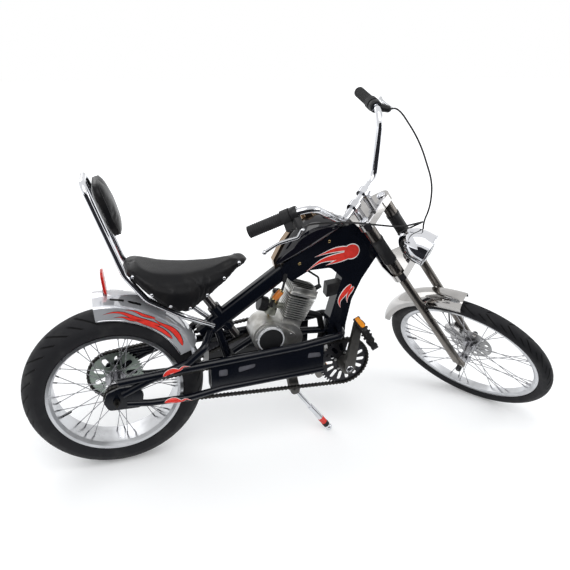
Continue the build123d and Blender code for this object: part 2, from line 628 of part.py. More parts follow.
stand_bracket += block_plane * Pos(62, 0, 0) * Box(44, 32, 2 * (EYE_HALF + CHEEK))
stand_bracket = stand_bracket - frame_ties

# Front end on the steering axis: clamps and stem, legs, bars, lamp, fender and brake
clamp_plane = Plane(origin=on_fork(0, 0, 0), x_dir=AHEAD, z_dir=UP)


def clamp(along, height):
    """Clamp plate round the stem and both legs."""
    circles = [*Circle(28).edges()]
    for side in (-1, 1):
        circles += (Pos(LEG_OFFSET, side * LEG_SPREAD) * Circle(LEG_RADIUS + 11)).edges()
    plate = make_hull(circles)
    for side in (-1, 1):
        plate -= Pos(LEG_OFFSET, side * LEG_SPREAD) * Circle(LEG_RADIUS + RUNNING_FIT)
    return clamp_plane * Pos(0, 0, along) * extrude(plate, amount=height / 2, both=True)


fork_lower_clamp = clamp(0, LOWER_CLAMP_HEIGHT)
fork_lower_clamp += rod(on_fork(0, 0, 0), on_fork(UPPER_CLAMP_ALONG + 24, 0, 0), STEM_RADIUS)
fork_upper_clamp = clamp(UPPER_CLAMP_ALONG, UPPER_CLAMP_HEIGHT)
fork_upper_clamp -= rod(on_fork(0, 0, 0), on_fork(UPPER_CLAMP_ALONG + 60, 0, 0), STEM_RADIUS + RUNNING_FIT)

LUG_HALF = 5
leg_low = -AXLE_DROP + 24


def fork_leg(side):
    y = side * LEG_SPREAD
    leg = rod(on_fork(leg_low, y, LEG_OFFSET), on_fork(LEG_TOP_ALONG, y, LEG_OFFSET), LEG_RADIUS)
    lug = make_hull([*(Pos(0, 0) * Circle(16)).edges(), *(Pos(-AXLE_LEAD, 40) * Circle(14)).edges()])
    lug_plane = Plane(origin=on_fork(-AXLE_DROP, y, LEG_OFFSET + AXLE_LEAD), x_dir=AHEAD, z_dir=(0, -1, 0))
    leg += extrude(lug_plane * lug, amount=LUG_HALF, both=True)
    hole = rod(FRONT_AXLE - Vector(0, 100, 0), FRONT_AXLE + Vector(0, 100, 0), AXLE_RADIUS + RUNNING_FIT)
    return leg - hole


fork_legs = fork_leg(-1) + fork_leg(1)
sleeve_low = LOWER_CLAMP_HEIGHT / 2 + SEAT_FIT
sleeve_high = UPPER_CLAMP_ALONG - UPPER_CLAMP_HEIGHT / 2 - SEAT_FIT


def fork_sleeve(side):
    y = side * LEG_SPREAD
    low, high = on_fork(sleeve_low, y, LEG_OFFSET), on_fork(sleeve_high, y, LEG_OFFSET)
    return rod(low, high, SLEEVE_RADIUS) - rod(low - UP, high + UP, LEG_RADIUS + SEAT_FIT)


fork_sleeves = fork_sleeve(-1) + fork_sleeve(1)

# Handlebar through its corners, given as along the axis, half width and ahead of it
GRIP_END = (476, 335, -25)
TOP_CORNER = (452, 217, 121)
LOW_CORNER = (285, 103, 55)
bar_right = [on_fork(along, -half, ahead) for along, half, ahead in (GRIP_END, TOP_CORNER, LOW_CORNER)]
bar_left = [on_fork(along, half, ahead) for along, half, ahead in (LOW_CORNER, TOP_CORNER, GRIP_END)]
handlebar = tube([*bar_right, *bar_left], BAR_RADIUS, [60, 50, 50, 60])


def along_grip(side, back):
    """Point of the grip's line at a distance in from its end."""
    end = on_fork(GRIP_END[0], side * GRIP_END[1], GRIP_END[2])
    corner = on_fork(TOP_CORNER[0], side * TOP_CORNER[1], TOP_CORNER[2])
    return end + (corner - end).normalized() * back


def grip(side):
    body = rod(along_grip(side, -5), along_grip(side, GRIP_LENGTH), GRIP_RADIUS)
    return body - rod(along_grip(side, -SEAT_FIT), along_grip(side, 200), BAR_RADIUS + SEAT_FIT)


LEVER_REACH = 68
LEVER_DROP = 48
BLADE_RADIUS = 5
COLLAR_LENGTH = 26
COLLAR_RADIUS = 22
CLAMP_LENGTH = 22
CLAMP_AT = GRIP_LENGTH + COLLAR_LENGTH + 1


def lever_out(side):
    """Way from the grip to its lever: forward, outward and down, square to the grip."""
    grip_run = along_grip(side, 0) - along_grip(side, 1)
    level = (grip_run.cross(UP) * side).normalized()
    drop = math.radians(LEVER_DROP)
    return level * math.cos(drop) - UP * math.sin(drop)


def collar(side):
    """Twist-grip housing inboard of the grip, with its switch block on the right."""
    near = along_grip(side, GRIP_LENGTH - SEAT_FIT)
    far = along_grip(side, GRIP_LENGTH + COLLAR_LENGTH)
    body = rod(near, far, COLLAR_RADIUS)
    if side < 0:
        block = Plane(origin=near, x_dir=lever_out(side), z_dir=far - near)
        body += block * Pos(24, 4, COLLAR_LENGTH / 2) * Box(34, 26, COLLAR_LENGTH - 2)
    return body - rod(near, along_grip(side, 200), BAR_RADIUS + SEAT_FIT)


bar_grips = grip(-1) + grip(1) + collar(-1) + collar(1) - handlebar


def lever_gap(side):
    """Middle of the finger room between grip and lever blade."""
    return along_grip(side, GRIP_LENGTH / 2) + lever_out(side) * ((GRIP_RADIUS + LEVER_REACH - BLADE_RADIUS) / 2)


def lever(side):
    """Lever clamp on the bar inboard of the grip, with its blade ahead of the grip."""
    body = rod(along_grip(side, CLAMP_AT), along_grip(side, CLAMP_AT + CLAMP_LENGTH), 17)
    root = along_grip(side, CLAMP_AT + CLAMP_LENGTH / 2)
    reach = lever_out(side) * LEVER_REACH
    body += rod(root, root + reach * 0.8, 8)
    knee = along_grip(side, CLAMP_AT - 8) + reach
    tip = along_grip(side, 12) + reach * 1.06
    body += tube([root + reach * 0.74, knee, along_grip(side, 60) + reach * 0.92, tip], BLADE_RADIUS, [9, 120])
    body += Pos(tip) * Sphere(BLADE_RADIUS + 2)
    return body - handlebar - bar_grips


bar_levers = lever(-1) + lever(1)

RISER_Y = 32


def riser(side):
    foot = on_fork(UPPER_CLAMP_ALONG + UPPER_CLAMP_HEIGHT / 2 + SEAT_FIT, side * RISER_Y, LOW_CORNER[2])
    top = on_fork(LOW_CORNER[0], side * RISER_Y, LOW_CORNER[2])
    body = rod(foot, top, 14) + rod(top - Vector(0, 13, 0), top + Vector(0, 13, 0), 19)
    return body - rod(top - Vector(0, 40, 0), top + Vector(0, 40, 0), BAR_RADIUS + SEAT_FIT)


bar_risers = riser(-1) + riser(1)

LAMP_ALONG = 77
LAMP_AHEAD = 172
LAMP_RADIUS = 65
LAMP_DIP = 8
lamp_centre = on_fork(LAMP_ALONG, 0, LAMP_AHEAD)
lamp_run = Vector(math.cos(math.radians(LAMP_DIP)), 0, -math.sin(math.radians(LAMP_DIP)))
lamp_plane = Plane(origin=lamp_centre, x_dir=(0, 1, 0), z_dir=lamp_run)
LAMP_RIM = 5
LAMP_FRONT = 40
LAMP_FLOOR = 30
LAMP_SHOULDER = 14
TAIL_RADIUS = 12
dome = math.hypot(LAMP_RADIUS, LAMP_SHOULDER)
lamp_tail = -math.sqrt(dome ** 2 - TAIL_RADIUS ** 2)
bowl_edges = [
    Polyline((0, lamp_tail), (0, LAMP_FLOOR), (LAMP_RADIUS - LAMP_RIM, LAMP_FLOOR),
             (LAMP_RADIUS - LAMP_RIM, LAMP_FRONT), (LAMP_RADIUS, LAMP_FRONT), (LAMP_RADIUS, LAMP_SHOULDER)),
    ThreePointArc((LAMP_RADIUS, LAMP_SHOULDER), (dome * math.sqrt(0.5), -dome * math.sqrt(0.5)),
                  (TAIL_RADIUS, lamp_tail)),
    Line((TAIL_RADIUS, lamp_tail), (0, lamp_tail)),
]
bowl = revolve(Plane.XZ * make_face(bowl_edges), axis=Axis.Z)
headlight = lamp_plane * bowl
headlight_lens = lamp_plane * Pos(0, 0, LAMP_FLOOR + SEAT_FIT) * Cylinder(
    LAMP_RADIUS - LAMP_RIM - SEAT_FIT, 12, align=(Align.CENTER, Align.CENTER, Align.MIN)
)
lamp_bracket = tube([on_fork(LOWER_CLAMP_HEIGHT / 2 + SEAT_FIT, 0, 96), on_fork(36, 0, 100), lamp_centre], 8, 12)
headlight += lamp_bracket - lamp_plane * bowl - fork_lower_clamp

FRONT_FENDER_GAP = 30
FRONT_FENDER_RADIUS = FRONT_TYRE_RADIUS + FRONT_FENDER_GAP
FRONT_FENDER_HALF = 36
front_fender = fender(FRONT_FENDER_RADIUS, FRONT_FENDER_HALF, 44, 2.4, 104, 178)
front_fender = Pos(FRONT_AXLE) * front_fender
FENDER_BOLT = FRONT_FENDER_RADIUS - 24
for side in (-1, 1):
    bolt_from = on_fork(-AXLE_DROP + FENDER_BOLT, side * (FRONT_FENDER_HALF - 1), LEG_OFFSET)
    bolt_to = on_fork(-AXLE_DROP + FENDER_BOLT, side * LEG_SPREAD, LEG_OFFSET)
    front_fender += rod(bolt_from, bolt_to, 7)
front_fender -= fork_legs

caliper_run = (UP * 0.9 - AHEAD * 0.45).normalized()
caliper_centre = FRONT_AXLE + caliper_run * 84 + Vector(0, DISC_Y, 0)
caliper_plane = Plane(origin=caliper_centre, x_dir=caliper_run, z_dir=(0, 1, 0))
front_caliper = caliper_plane * Box(44, 54, 26)
front_caliper += caliper_plane * Pos(8, -30, 17) * Box(22, 30, 12)
front_caliper -= Pos(FRONT_AXLE) * Pos(0, DISC_Y, 0) * Rot(90, 0, 0) * Cylinder(DISC_RADIUS + 4, 8)
front_caliper -= fork_legs

FRONT_AXLE_END = 84
NUT_FRONT = 8
front_axle = rod(FRONT_AXLE - Vector(0, FRONT_AXLE_END, 0), FRONT_AXLE + Vector(0, FRONT_AXLE_END, 0), AXLE_RADIUS)
for side in (-1, 1):
    nut = extrude(Plane.XZ * RegularPolygon(10, 6), amount=-NUT_FRONT * side)
    front_axle += Pos(FRONT_AXLE) * Pos(0, side * (LEG_SPREAD + LUG_HALF), 0) * nut

# Cables on the fork: front brake, and the loom from the right-hand switch to the lamp
CABLE_RADIUS = 2.8


def cord(name, points):
    """Cable through the points, each bend as large as its shorter run allows."""
    points = [Vector(point) for point in points]
    radii = []
    for before, at, after in zip(points, points[1:], points[2:]):
        turn = math.radians((at - before).get_angle(after - at))
        radii.append(0.45 * min((at - before).length, (after - at).length) / math.tan(turn / 2))
    print(name, "bend radii", [round(radius) for radius in radii])
    return tube(points, CABLE_RADIUS, radii)


def lever_knuckle(side):
    return along_grip(side, CLAMP_AT + CLAMP_LENGTH / 2) + lever_out(side) * (LEVER_REACH * 0.7)


brake_cable_route = [
    (440, 236, 172), (340, 188, 222), (215, 134, 232), (143, 104, 202), (80, 92, 146), (0, 95, 112),
    (-90, 85, 74), (-330, 76, 60), (-378, 54, 50), (-402, 42, 47),
]
brake_cable = cord("brake_cable", [lever_knuckle(1)] + [on_fork(*spot) for spot in brake_cable_route])
brake_cable = brake_cable - bar_levers - front_caliper
lamp_cable_route = [
    (385, -215, 66), (345, -170, 88), (296, -120, 112), (236, -70, 140), (172, -16, 168), (136, 42, 196),
    (104, 78, 168), (98, 58, 122), (114, 20, 112), (125, 0, 122),
]
lamp_cable = cord("lamp_cable", [lever_knuckle(-1)] + [on_fork(*spot) for spot in lamp_cable_route])
lamp_cable = lamp_cable - bar_levers - headlight

# Parking: steering over on its right stop, both tyres on the ground, leaning onto the stand
steering_axis = Axis(on_fork(0, 0, 0), UP)


def turned(point):
    """Where a point of the straight fork goes when the steering rests on its stop."""
    return Vector(CROWN_X, 0, CROWN_Z) + (point - Vector(CROWN_X, 0, CROWN_Z)).rotate(Axis((0, 0, 0), UP), -STEER_TURN)


def lean_to(pitch):
    return Rot(LEAN, 0, 0) * Rot(0, pitch, 0)


def lowest(centre, axle, radius, crown):
    """Lowest point of a leaning tyre with a round crown."""
    level = math.sqrt(1 - axle.Z ** 2)
    return centre.Z - (radius - crown) * level - crown


def moved(location, point):
    return (location * Pos(point)).position


front_axle_turned = turned(FRONT_AXLE)
front_tip_turned = turned(FRONT_AXLE + Vector(0, 1, 0))


def tyre_bottoms(pitch):
    location = lean_to(pitch)
    rear_line = moved(location, REAR_AXLE + Vector(0, 1, 0)) - moved(location, REAR_AXLE)
    front_line = moved(location, front_tip_turned) - moved(location, front_axle_turned)
    rear = lowest(moved(location, REAR_AXLE), rear_line, REAR_TYRE_RADIUS, REAR_TYRE_CROWN)
    front = lowest(moved(location, front_axle_turned), front_line, FRONT_TYRE_RADIUS, FRONT_TYRE_CROWN)
    return rear, front


pitch = 0.0
for step in range(12):
    rear, front = tyre_bottoms(pitch)
    pitch += math.degrees((front - rear) / FRONT_AXLE.X)
rear, front = tyre_bottoms(pitch)
on_ground = Pos(0, 0, -rear) * lean_to(pitch)

# The stand leg is as long as it needs to be to reach the ground
pivot_height = moved(on_ground, stand_pivot).Z
leg_fall = pivot_height - moved(on_ground, stand_pivot + stand_run).Z
stand_length = (pivot_height - FOOT_RADIUS) / leg_fall
stand_foot = stand_pivot + stand_run * stand_length
stand_leg = stand_plane * Cylinder(EYE_RADIUS, EYE_HALF * 2)
stand_leg += rod(stand_pivot, stand_foot, 8)
stand_leg += rod(stand_pivot + stand_run * stand_length * 0.45, stand_foot, 11)
stand_leg += Pos(stand_foot) * Sphere(FOOT_RADIUS)
stand_leg -= stand_plane * Cylinder(AXLE_RADIUS + RUNNING_FIT, EYE_HALF * 4)

AT_REAR = Pos(REAR_AXLE)
AT_FRONT = Pos(FRONT_AXLE)
FRAME_NODES = {
    "frame_neck": frame_neck,
    "frame_backbone": frame_backbone,
    "frame_down_tube": frame_down_tube,
    "frame_side_right": frame_side_right,
    "frame_side_left": frame_side_left,
    "frame_ties": frame_ties,
    "tank": tank,
    "tank_strip": tank_strip,
    "engine_case": engine_case,
    "clutch_cover": clutch_cover,
    "engine_barrel": engine_barrel,
    "engine_head": engine_head,
    "spark_plug": plug,
    "engine_cog": engine_cog,
    "carburettor": carburettor,
    "fuel_line": fuel_line,
    "air_filter": air_filter,
    "exhaust": exhaust,
    "ignition_box": ignition_box,
    "engine_mounts": engine_mount + engine_mount_front,
    "seat_post": seat_post,
    "seat": seat,
    "sissy_bar": sissy_bar,
    "backrest": backrest,
    "rear_fender": rear_fender,
    "rear_reflector": rear_reflector,
    "chain_pedal": chain_pedal,
    "chain_engine": chain_engine,
    "rear_axle": rear_axle,
    "rear_brake": rear_brake,
    "stand_bracket": stand_bracket,
    "stand_leg": stand_leg,
    "crank_arms": crank_arms,
    "chainring": chainring,
    "pedal_right": pedal_right,
    "pedal_left": pedal_left,
    "rear_tyre": AT_REAR * rear_tyre,
    "rear_rim": AT_REAR * rear_rim,
    "rear_hub": AT_REAR * rear_hub,
    "rear_cog": AT_REAR * rear_cog,
    "rear_sprocket": AT_REAR * rear_sprocket,
}
FORK_NODES = {
    "fork_lower_clamp": fork_lower_clamp,
    "fork_upper_clamp": fork_upper_clamp,
    "fork_legs": fork_legs,
    "fork_sleeves": fork_sleeves,
    "handlebar": handlebar,
    "bar_risers": bar_risers,
    "bar_grips": bar_grips,
    "bar_levers": bar_levers,
    "headlight": headlight,
    "headlight_lens": headlight_lens,
    "front_fender": front_fender,
    "front_caliper": front_caliper,
    "front_axle": front_axle,
    "brake_cable": brake_cable,
    "lamp_cable": lamp_cable,
    "front_tyre": AT_FRONT * front_tyre,
    "front_rim": AT_FRONT * front_rim,
    "front_hub": AT_FRONT * front_hub,
    "front_disc": AT_FRONT * front_disc,
}

standing = {name: on_ground * shape for name, shape in FRAME_NODES.items()}
for name, shape in FORK_NODES.items():
    standing[name] = on_ground * shape.rotate(steering_axis, -STEER_TURN)
boxes = [shape.bounding_box() for shape in standing.values()]
low_x, high_x = min(box.min.X for box in boxes), max(box.max.X for box in boxes)
low_y, high_y = min(box.min.Y for box in boxes), max(box.max.Y for box in boxes)
floor = min(box.min.Z for box in boxes)
CENTRE = Pos(-(low_x + high_x) / 2, -(low_y + high_y) / 2, -floor)
PARKED = CENTRE * on_ground

os.makedirs("parts", exist_ok=True)
for name, shape in standing.items():
    export_step(CENTRE * shape, "parts/" + name + ".step")
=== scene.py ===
import json
import math

import bmesh
import bpy
import numpy as np
from mathutils import Matrix, Vector


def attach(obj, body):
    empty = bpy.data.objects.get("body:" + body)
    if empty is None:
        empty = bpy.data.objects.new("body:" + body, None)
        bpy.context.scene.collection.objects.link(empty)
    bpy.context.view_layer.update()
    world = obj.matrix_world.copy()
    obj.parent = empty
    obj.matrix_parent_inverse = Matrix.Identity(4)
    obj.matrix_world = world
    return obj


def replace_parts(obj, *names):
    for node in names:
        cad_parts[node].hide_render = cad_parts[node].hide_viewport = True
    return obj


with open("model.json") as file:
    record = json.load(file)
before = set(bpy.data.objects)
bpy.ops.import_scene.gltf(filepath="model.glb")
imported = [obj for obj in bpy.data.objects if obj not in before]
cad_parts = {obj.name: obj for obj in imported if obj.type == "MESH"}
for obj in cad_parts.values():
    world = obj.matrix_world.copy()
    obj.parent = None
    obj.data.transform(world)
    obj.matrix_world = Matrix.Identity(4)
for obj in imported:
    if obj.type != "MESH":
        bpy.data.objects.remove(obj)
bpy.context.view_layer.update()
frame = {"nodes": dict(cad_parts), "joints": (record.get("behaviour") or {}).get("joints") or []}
nodes = frame["nodes"]

# The bike stands leaning on its side stand with the fork over on its stop. Every added piece is
# placed in the upright bike's own axes, or the turned fork's, in millimetres, both read from the joints.
joints = {joint["name"]: joint for joint in frame["joints"]}
RAKE = math.radians(36.1)
AXLE_HEIGHT = 286
ACROSS = np.array([0, 1, 0])
bike_left = np.array(joints["rear_wheel_spin"]["axis"])
fork_up = np.array(joints["steering"]["axis"])
fork_left = np.array(joints["front_wheel_spin"]["axis"])
fork_ahead = np.cross(fork_left, fork_up)
straight_ahead = np.cross(bike_left, fork_up)
bike_forward = math.cos(RAKE) * straight_ahead - math.sin(RAKE) * fork_up
bike_up = math.sin(RAKE) * straight_ahead + math.cos(RAKE) * fork_up
rear_hub = np.array(joints["rear_wheel_spin"]["pos_m"])
front_hub = np.array(joints["front_wheel_spin"]["pos_m"])
crown = np.array(joints["steering"]["pos_m"])
bike_foot = rear_hub - bike_up * AXLE_HEIGHT / 1000
BIKE = np.stack([bike_forward, bike_left, bike_up])
FORK = np.stack([fork_up, fork_left, fork_ahead])


def on_bike(points):
    """Upright bike's (forward, left, up) millimetres from the rear tyre's foot, to where it stands."""
    return bike_foot + np.asarray(points, float) / 1000 @ BIKE


def on_fork(points):
    """Millimetres (along the steering axis from the lower clamp, left, ahead) of the turned fork."""
    return crown + np.asarray(points, float) / 1000 @ FORK


# Studio: a pale floor that runs out to white, a large soft lamp over the near side, smaller ones
# ahead and behind, a dark card out of sight for the chrome, and a camera on the bike's right.
CAMERA_AT = (0.05605, -1.70597, 1.3092)
CAMERA_TURN = math.radians(-16.61)
CAMERA_DIP = math.radians(19.1)
CAMERA_ROLL = math.radians(0.36)
SENSOR_WIDTH, FOCAL_LENGTH, SHIFT_X, SHIFT_Y = 36, 35.66, 0.0073, -0.0586
REAR_CROWN = 58
plumb = np.array([0, 0, 1])
wheel_down = -(plumb - bike_left[2] * bike_left) / math.sqrt(1 - bike_left[2] ** 2)
rear_contact = rear_hub + (wheel_down * (AXLE_HEIGHT - REAR_CROWN) - plumb * REAR_CROWN) / 1000
back = np.array([math.sin(CAMERA_TURN) * math.cos(CAMERA_DIP),
                 -math.cos(CAMERA_TURN) * math.cos(CAMERA_DIP), math.sin(CAMERA_DIP)])
right = np.array([math.cos(CAMERA_TURN), math.sin(CAMERA_TURN), 0])
up = np.cross(back, right)
rolled_right = math.cos(CAMERA_ROLL) * right + math.sin(CAMERA_ROLL) * up
rolled_up = math.cos(CAMERA_ROLL) * up - math.sin(CAMERA_ROLL) * right
camera_place = np.eye(4)
camera_place[:3] = np.stack([rolled_right, rolled_up, back, rear_contact + np.array(CAMERA_AT)], 1)
lens = bpy.data.cameras.new("camera")
lens.sensor_width = SENSOR_WIDTH
lens.lens = FOCAL_LENGTH
lens.shift_x = SHIFT_X
lens.shift_y = SHIFT_Y
camera = bpy.data.objects.new("camera", lens)
camera.matrix_world = Matrix(camera_place.tolist())
bpy.context.scene.collection.objects.link(camera)
bpy.context.scene.camera = camera
bpy.context.scene.view_settings.view_transform = "Standard"


class Wire:
    """One socket of a material's nodes. Arithmetic on wires adds Math nodes."""

    def __init__(self, tree, socket):
        self.tree = tree
        self.socket = socket

    def add(self, kind, sockets, out=0, **settings):
        """Adds a node of that kind: its settings first, then each socket's value or link."""
        made = self.tree.nodes.new("ShaderNode" + kind)
        for name, value in settings.items():
            setattr(made, name, value)
        for name, value in sockets.items():
            if isinstance(value, Wire):
                self.tree.links.new(value.socket, made.inputs[name])
            else:
                made.inputs[name].default_value = value
        return Wire(self.tree, made.outputs[out])

    def maths(self, operation, *terms):
        """One Math node on the terms."""
        return self.add("Math", dict(enumerate(terms)), operation=operation)

    def mix(self, first, second):
        """Colour between two colours, by this value."""
        return self.add("Mix", {0: self, 6: first, 7: second}, out=2, data_type="RGBA")

    def noise(self, scale, detail=3.0):
        """Cloudy values from 0 to 1 at these coordinates."""
        return self.add("TexNoise", {"Vector": self, "Scale": scale, "Detail": detail})

    def ramp(self, low, high):
        """0 below low, 1 above high, smooth between."""
        return self.add("MapRange", {0: self, 1: low, 2: high, 3: 0.0, 4: 1.0},
                        interpolation_type="SMOOTHSTEP")

    def __add__(self, other):
        return self.maths("ADD", self, other)

    def __mul__(self, other):
        return self.maths("MULTIPLY", self, other)

    __radd__ = __add__
    __rmul__ = __mul__


def finish(name, colour, roughness, metallic=0.0, **constants):
    """New material: returns it, its shader node and the wire of object coordinates."""
    material = bpy.data.materials.new(name)
    material.use_nodes = True
    tree = material.node_tree
    shader = tree.nodes["Principled BSDF"]
    shader.inputs["Base Color"].default_value = (*colour, 1)
    shader.inputs["Roughness"].default_value = roughness
    shader.inputs["Metallic"].default_value = metallic
    for socket, value in constants.items():
        shader.inputs[socket.replace("_", " ")].default_value = value
    coordinates = tree.nodes.new("ShaderNodeTexCoord")
    return material, shader, Wire(tree, coordinates.outputs["Object"])


def feed(shader, **wires):
    """Links each wire to the shader's socket of that name."""
    for socket, wire in wires.items():
        wire.tree.links.new(wire.socket, shader.inputs[socket.replace("_", " ")])


def bump(wire, height, strength, distance):
    """Relief for a shader's Normal from a wire of heights."""
    return wire.add("Bump", {"Height": height, "Strength": strength, "Distance": distance})


def grid_faces(rows, columns, wrap_rows, wrap_columns, first):
    """Quads of a rows by columns grid of points, joined end to end where it wraps."""
    i = np.arange(rows if wrap_rows else rows - 1)[:, None]
    j = np.arange(columns if wrap_columns else columns - 1)[None, :]
    i2, j2 = (i + 1) % rows, (j + 1) % columns
    corners = [i * columns + j, i2 * columns + j, i2 * columns + j2, i * columns + j2]
    return first + np.stack([np.broadcast_to(c, (i.size, j.size)) for c in corners], -1).reshape(-1, 4)


SAME_POINT = 2e-6


def piece(name, grids, material, body, crease=40, shade=None):
    """One object from a list of (points, wraps along rows, wraps along columns) grids, riding on a body.
    shade, where given, is one value for each point that the material reads."""
    points, faces, first = [], [], 0
    for grid, wrap_rows, wrap_columns in grids:
        rows, columns = grid.shape[:2]
        points.append(grid.reshape(-1, 3))
        faces.append(grid_faces(rows, columns, wrap_rows, wrap_columns, first))
        first += rows * columns
    mesh = bpy.data.meshes.new(name)
    mesh.from_pydata(np.concatenate(points).tolist(), [], np.concatenate(faces).tolist())
    if shade is not None:
        mesh.attributes.new("shade", "FLOAT", "POINT").data.foreach_set("value", shade.ravel())
    joined = bmesh.new()
    joined.from_mesh(mesh)
    bmesh.ops.remove_doubles(joined, verts=joined.verts, dist=SAME_POINT)
    bmesh.ops.recalc_face_normals(joined, faces=joined.faces)
    joined.to_mesh(mesh)
    joined.free()
    mesh.materials.append(material)
    mesh.shade_smooth()
    mesh.set_sharp_from_angle(angle=math.radians(crease))
    made = bpy.data.objects.new(name, mesh)
    bpy.context.scene.collection.objects.link(made)
    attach(made, body)
    return made


FLOOR_REACH, FLOOR_CORNERS = 30.0, ((-1, -1), (1, -1), (1, 1), (-1, 1))
FLOOR_COLOUR, GLOW_NEAR, GLOW_FAR = (0.92, 0.92, 0.92), (0.16, 0.16, 0.16, 1), (0.6, 0.6, 0.6, 1)
FLOOR_NEAR, FLOOR_FAR = 1.2, 3.5
floor_mesh = bpy.data.meshes.new("floor")
floor_mesh.from_pydata([(x * FLOOR_REACH, y * FLOOR_REACH, 0) for x, y in FLOOR_CORNERS], [], [(0, 1, 2, 3)])
floor = bpy.data.objects.new("floor", floor_mesh)
bpy.context.scene.collection.objects.link(floor)
floor_white, floor_shader, floor_place = finish("floor_white", FLOOR_COLOUR, 0.95, Specular_IOR_Level=0.0)
tree = floor_place.tree
rays = tree.nodes.new("ShaderNodeLightPath")
seen = Wire(tree, rays.outputs["Is Camera Ray"])
seen = seen.maths("MAXIMUM", seen, Wire(tree, rays.outputs["Is Glossy Ray"]))
seen = seen.maths("MAXIMUM", seen, Wire(tree, rays.outputs["Is Transmission Ray"]))
far_off = floor_place.add("VectorMath", {0: floor_place}, out=1, operation="LENGTH")
paler = far_off.ramp(FLOOR_NEAR, FLOOR_FAR).mix(GLOW_NEAR, GLOW_FAR)
glow = seen.add("Emission", {"Color": paler, "Strength": 1.0})
lit = seen.add("AddShader", {0: Wire(tree, floor_shader.outputs[0]), 1: glow})
shown = seen.add("MixShader", {0: seen, 1: Wire(tree, floor_shader.outputs[0]), 2: lit})
tree.links.new(shown.socket, tree.nodes["Material Output"].inputs["Surface"])
floor_mesh.materials.append(floor_white)

SKY_LIGHT, SKY_COLOUR = 0.82, (0.96, 0.98, 1.0, 1)
world = bpy.data.worlds.new("studio")
bpy.context.scene.world = world
world.use_nodes = True
sky = world.node_tree
soft = sky.nodes["Background"]
soft.inputs["Color"].default_value = SKY_COLOUR
soft.inputs["Strength"].default_value = SKY_LIGHT
sky_rays = sky.nodes.new("ShaderNodeLightPath")
camera_ray = Wire(sky, sky_rays.outputs["Is Camera Ray"])
mirror_ray = Wire(sky, sky_rays.outputs["Is Glossy Ray"])
clear_ray = Wire(sky, sky_rays.outputs["Is Transmission Ray"])
white = camera_ray.add("Background", {"Color": (1, 1, 1, 1), "Strength": 1.0})
plain = camera_ray.maths("MAXIMUM", camera_ray.maths("MAXIMUM", camera_ray, clear_ray), mirror_ray)
seen_sky = camera_ray.add("MixShader", {0: plain, 1: Wire(sky, soft.outputs[0]), 2: white})
sky.links.new(seen_sky.socket, sky.nodes["World Output"].inputs["Surface"])

CARD_REACH = 5.0
CARD_PROFILE = np.array([(-0.38, 0.004), (-4.4, 0.004), (-4.6, 0.2), (-4.6, 2.3)])
card_across = np.linspace(-CARD_REACH, CARD_REACH, 2)[:, None] + 0 * CARD_PROFILE[None, :, 0]
card_points = np.stack([card_across, *np.broadcast_to(CARD_PROFILE.T[:, None], (2, *card_across.shape))], -1)
card_grey, _, _ = finish("card_grey", (0.03, 0.03, 0.034), 1.0, Specular_IOR_Level=0.0)
card_mesh = bpy.data.meshes.new("card")
card_mesh.from_pydata(card_points.reshape(-1, 3).tolist(), [], grid_faces(2, 4, False, False, 0).tolist())
card_mesh.materials.append(card_grey)
card = bpy.data.objects.new("card", card_mesh)
card.visible_camera = card.visible_diffuse = card.visible_shadow = False
bpy.context.scene.collection.objects.link(card)

LAMPS = [("lamp_over", (-0.6, -1.6, 3.0), 2.2, 34), ("lamp_ahead", (2.6, -0.8, 1.6), 1.2, 12),
         ("lamp_behind", (-1.4, 2.4, 2.6), 2.0, 16)]
LAMP_AIM = np.array([0, 0, 0.45])
for lamp_name, lamp_at, lamp_size, lamp_power in LAMPS:
    light = bpy.data.lights.new(lamp_name, "AREA")
    light.size = lamp_size
    light.energy = lamp_power
    lamp = bpy.data.objects.new(lamp_name, light)
    away = np.array(lamp_at) - LAMP_AIM
    away /= np.linalg.norm(away)
    level = np.cross(plumb, away)
    level /= np.linalg.norm(level)
    lamp_place = np.eye(4)
    lamp_place[:3] = np.stack([level, np.cross(away, level), away, lamp_at], 1)
    lamp.matrix_world = Matrix(lamp_place.tolist())
    bpy.context.scene.collection.objects.link(lamp)

# Frame: welded steel plate and tube, sprayed gloss black over primer, with a faint orange peel.
# The neck, down tube, stays and lower rails carry flames cut from red and white film.
black_paint, shader, place = finish("black_paint", (0.003, 0.004, 0.008), 0.1, Specular_IOR_Level=0.3)
faded = place.noise(5.0, 6.0).ramp(0.35, 0.8)
feed(shader, Roughness=place.noise(9.0) * 0.14 + 0.05,
     Base_Color=faded.mix((0.002, 0.003, 0.006, 1), (0.006, 0.007, 0.011, 1)),
     Normal=bump(place, place.noise(420.0, 2.0), 0.05, 0.0004))


def dress(material, *names):
    """Gives CAD pieces their finish."""
    for name in names:
        for spot in nodes[name].material_slots:
            spot.material = material


dress(black_paint, "frame_neck", "frame_backbone", "frame_down_tube", "frame_side_right", "frame_side_left",
      "frame_ties", "engine_mounts")


def film(name, colour):
    """Gloss adhesive film: one colour, slightly uneven in gloss and with fine dust."""
    material, shader, place = finish(name, colour, 0.25)
    deep = tuple(part * 0.8 for part in colour)
    feed(shader, Roughness=place.noise(30.0) * 0.2 + 0.12,
         Base_Color=place.noise(60.0, 5.0).ramp(0.3, 0.7).mix((*deep, 1), (*colour, 1)))
    return material


flame_red = film("flame_red", (0.72, 0.034, 0.022))
flame_white = film("flame_white", (0.82, 0.82, 0.8))
flame_black = film("flame_black", (0.006, 0.006, 0.007))


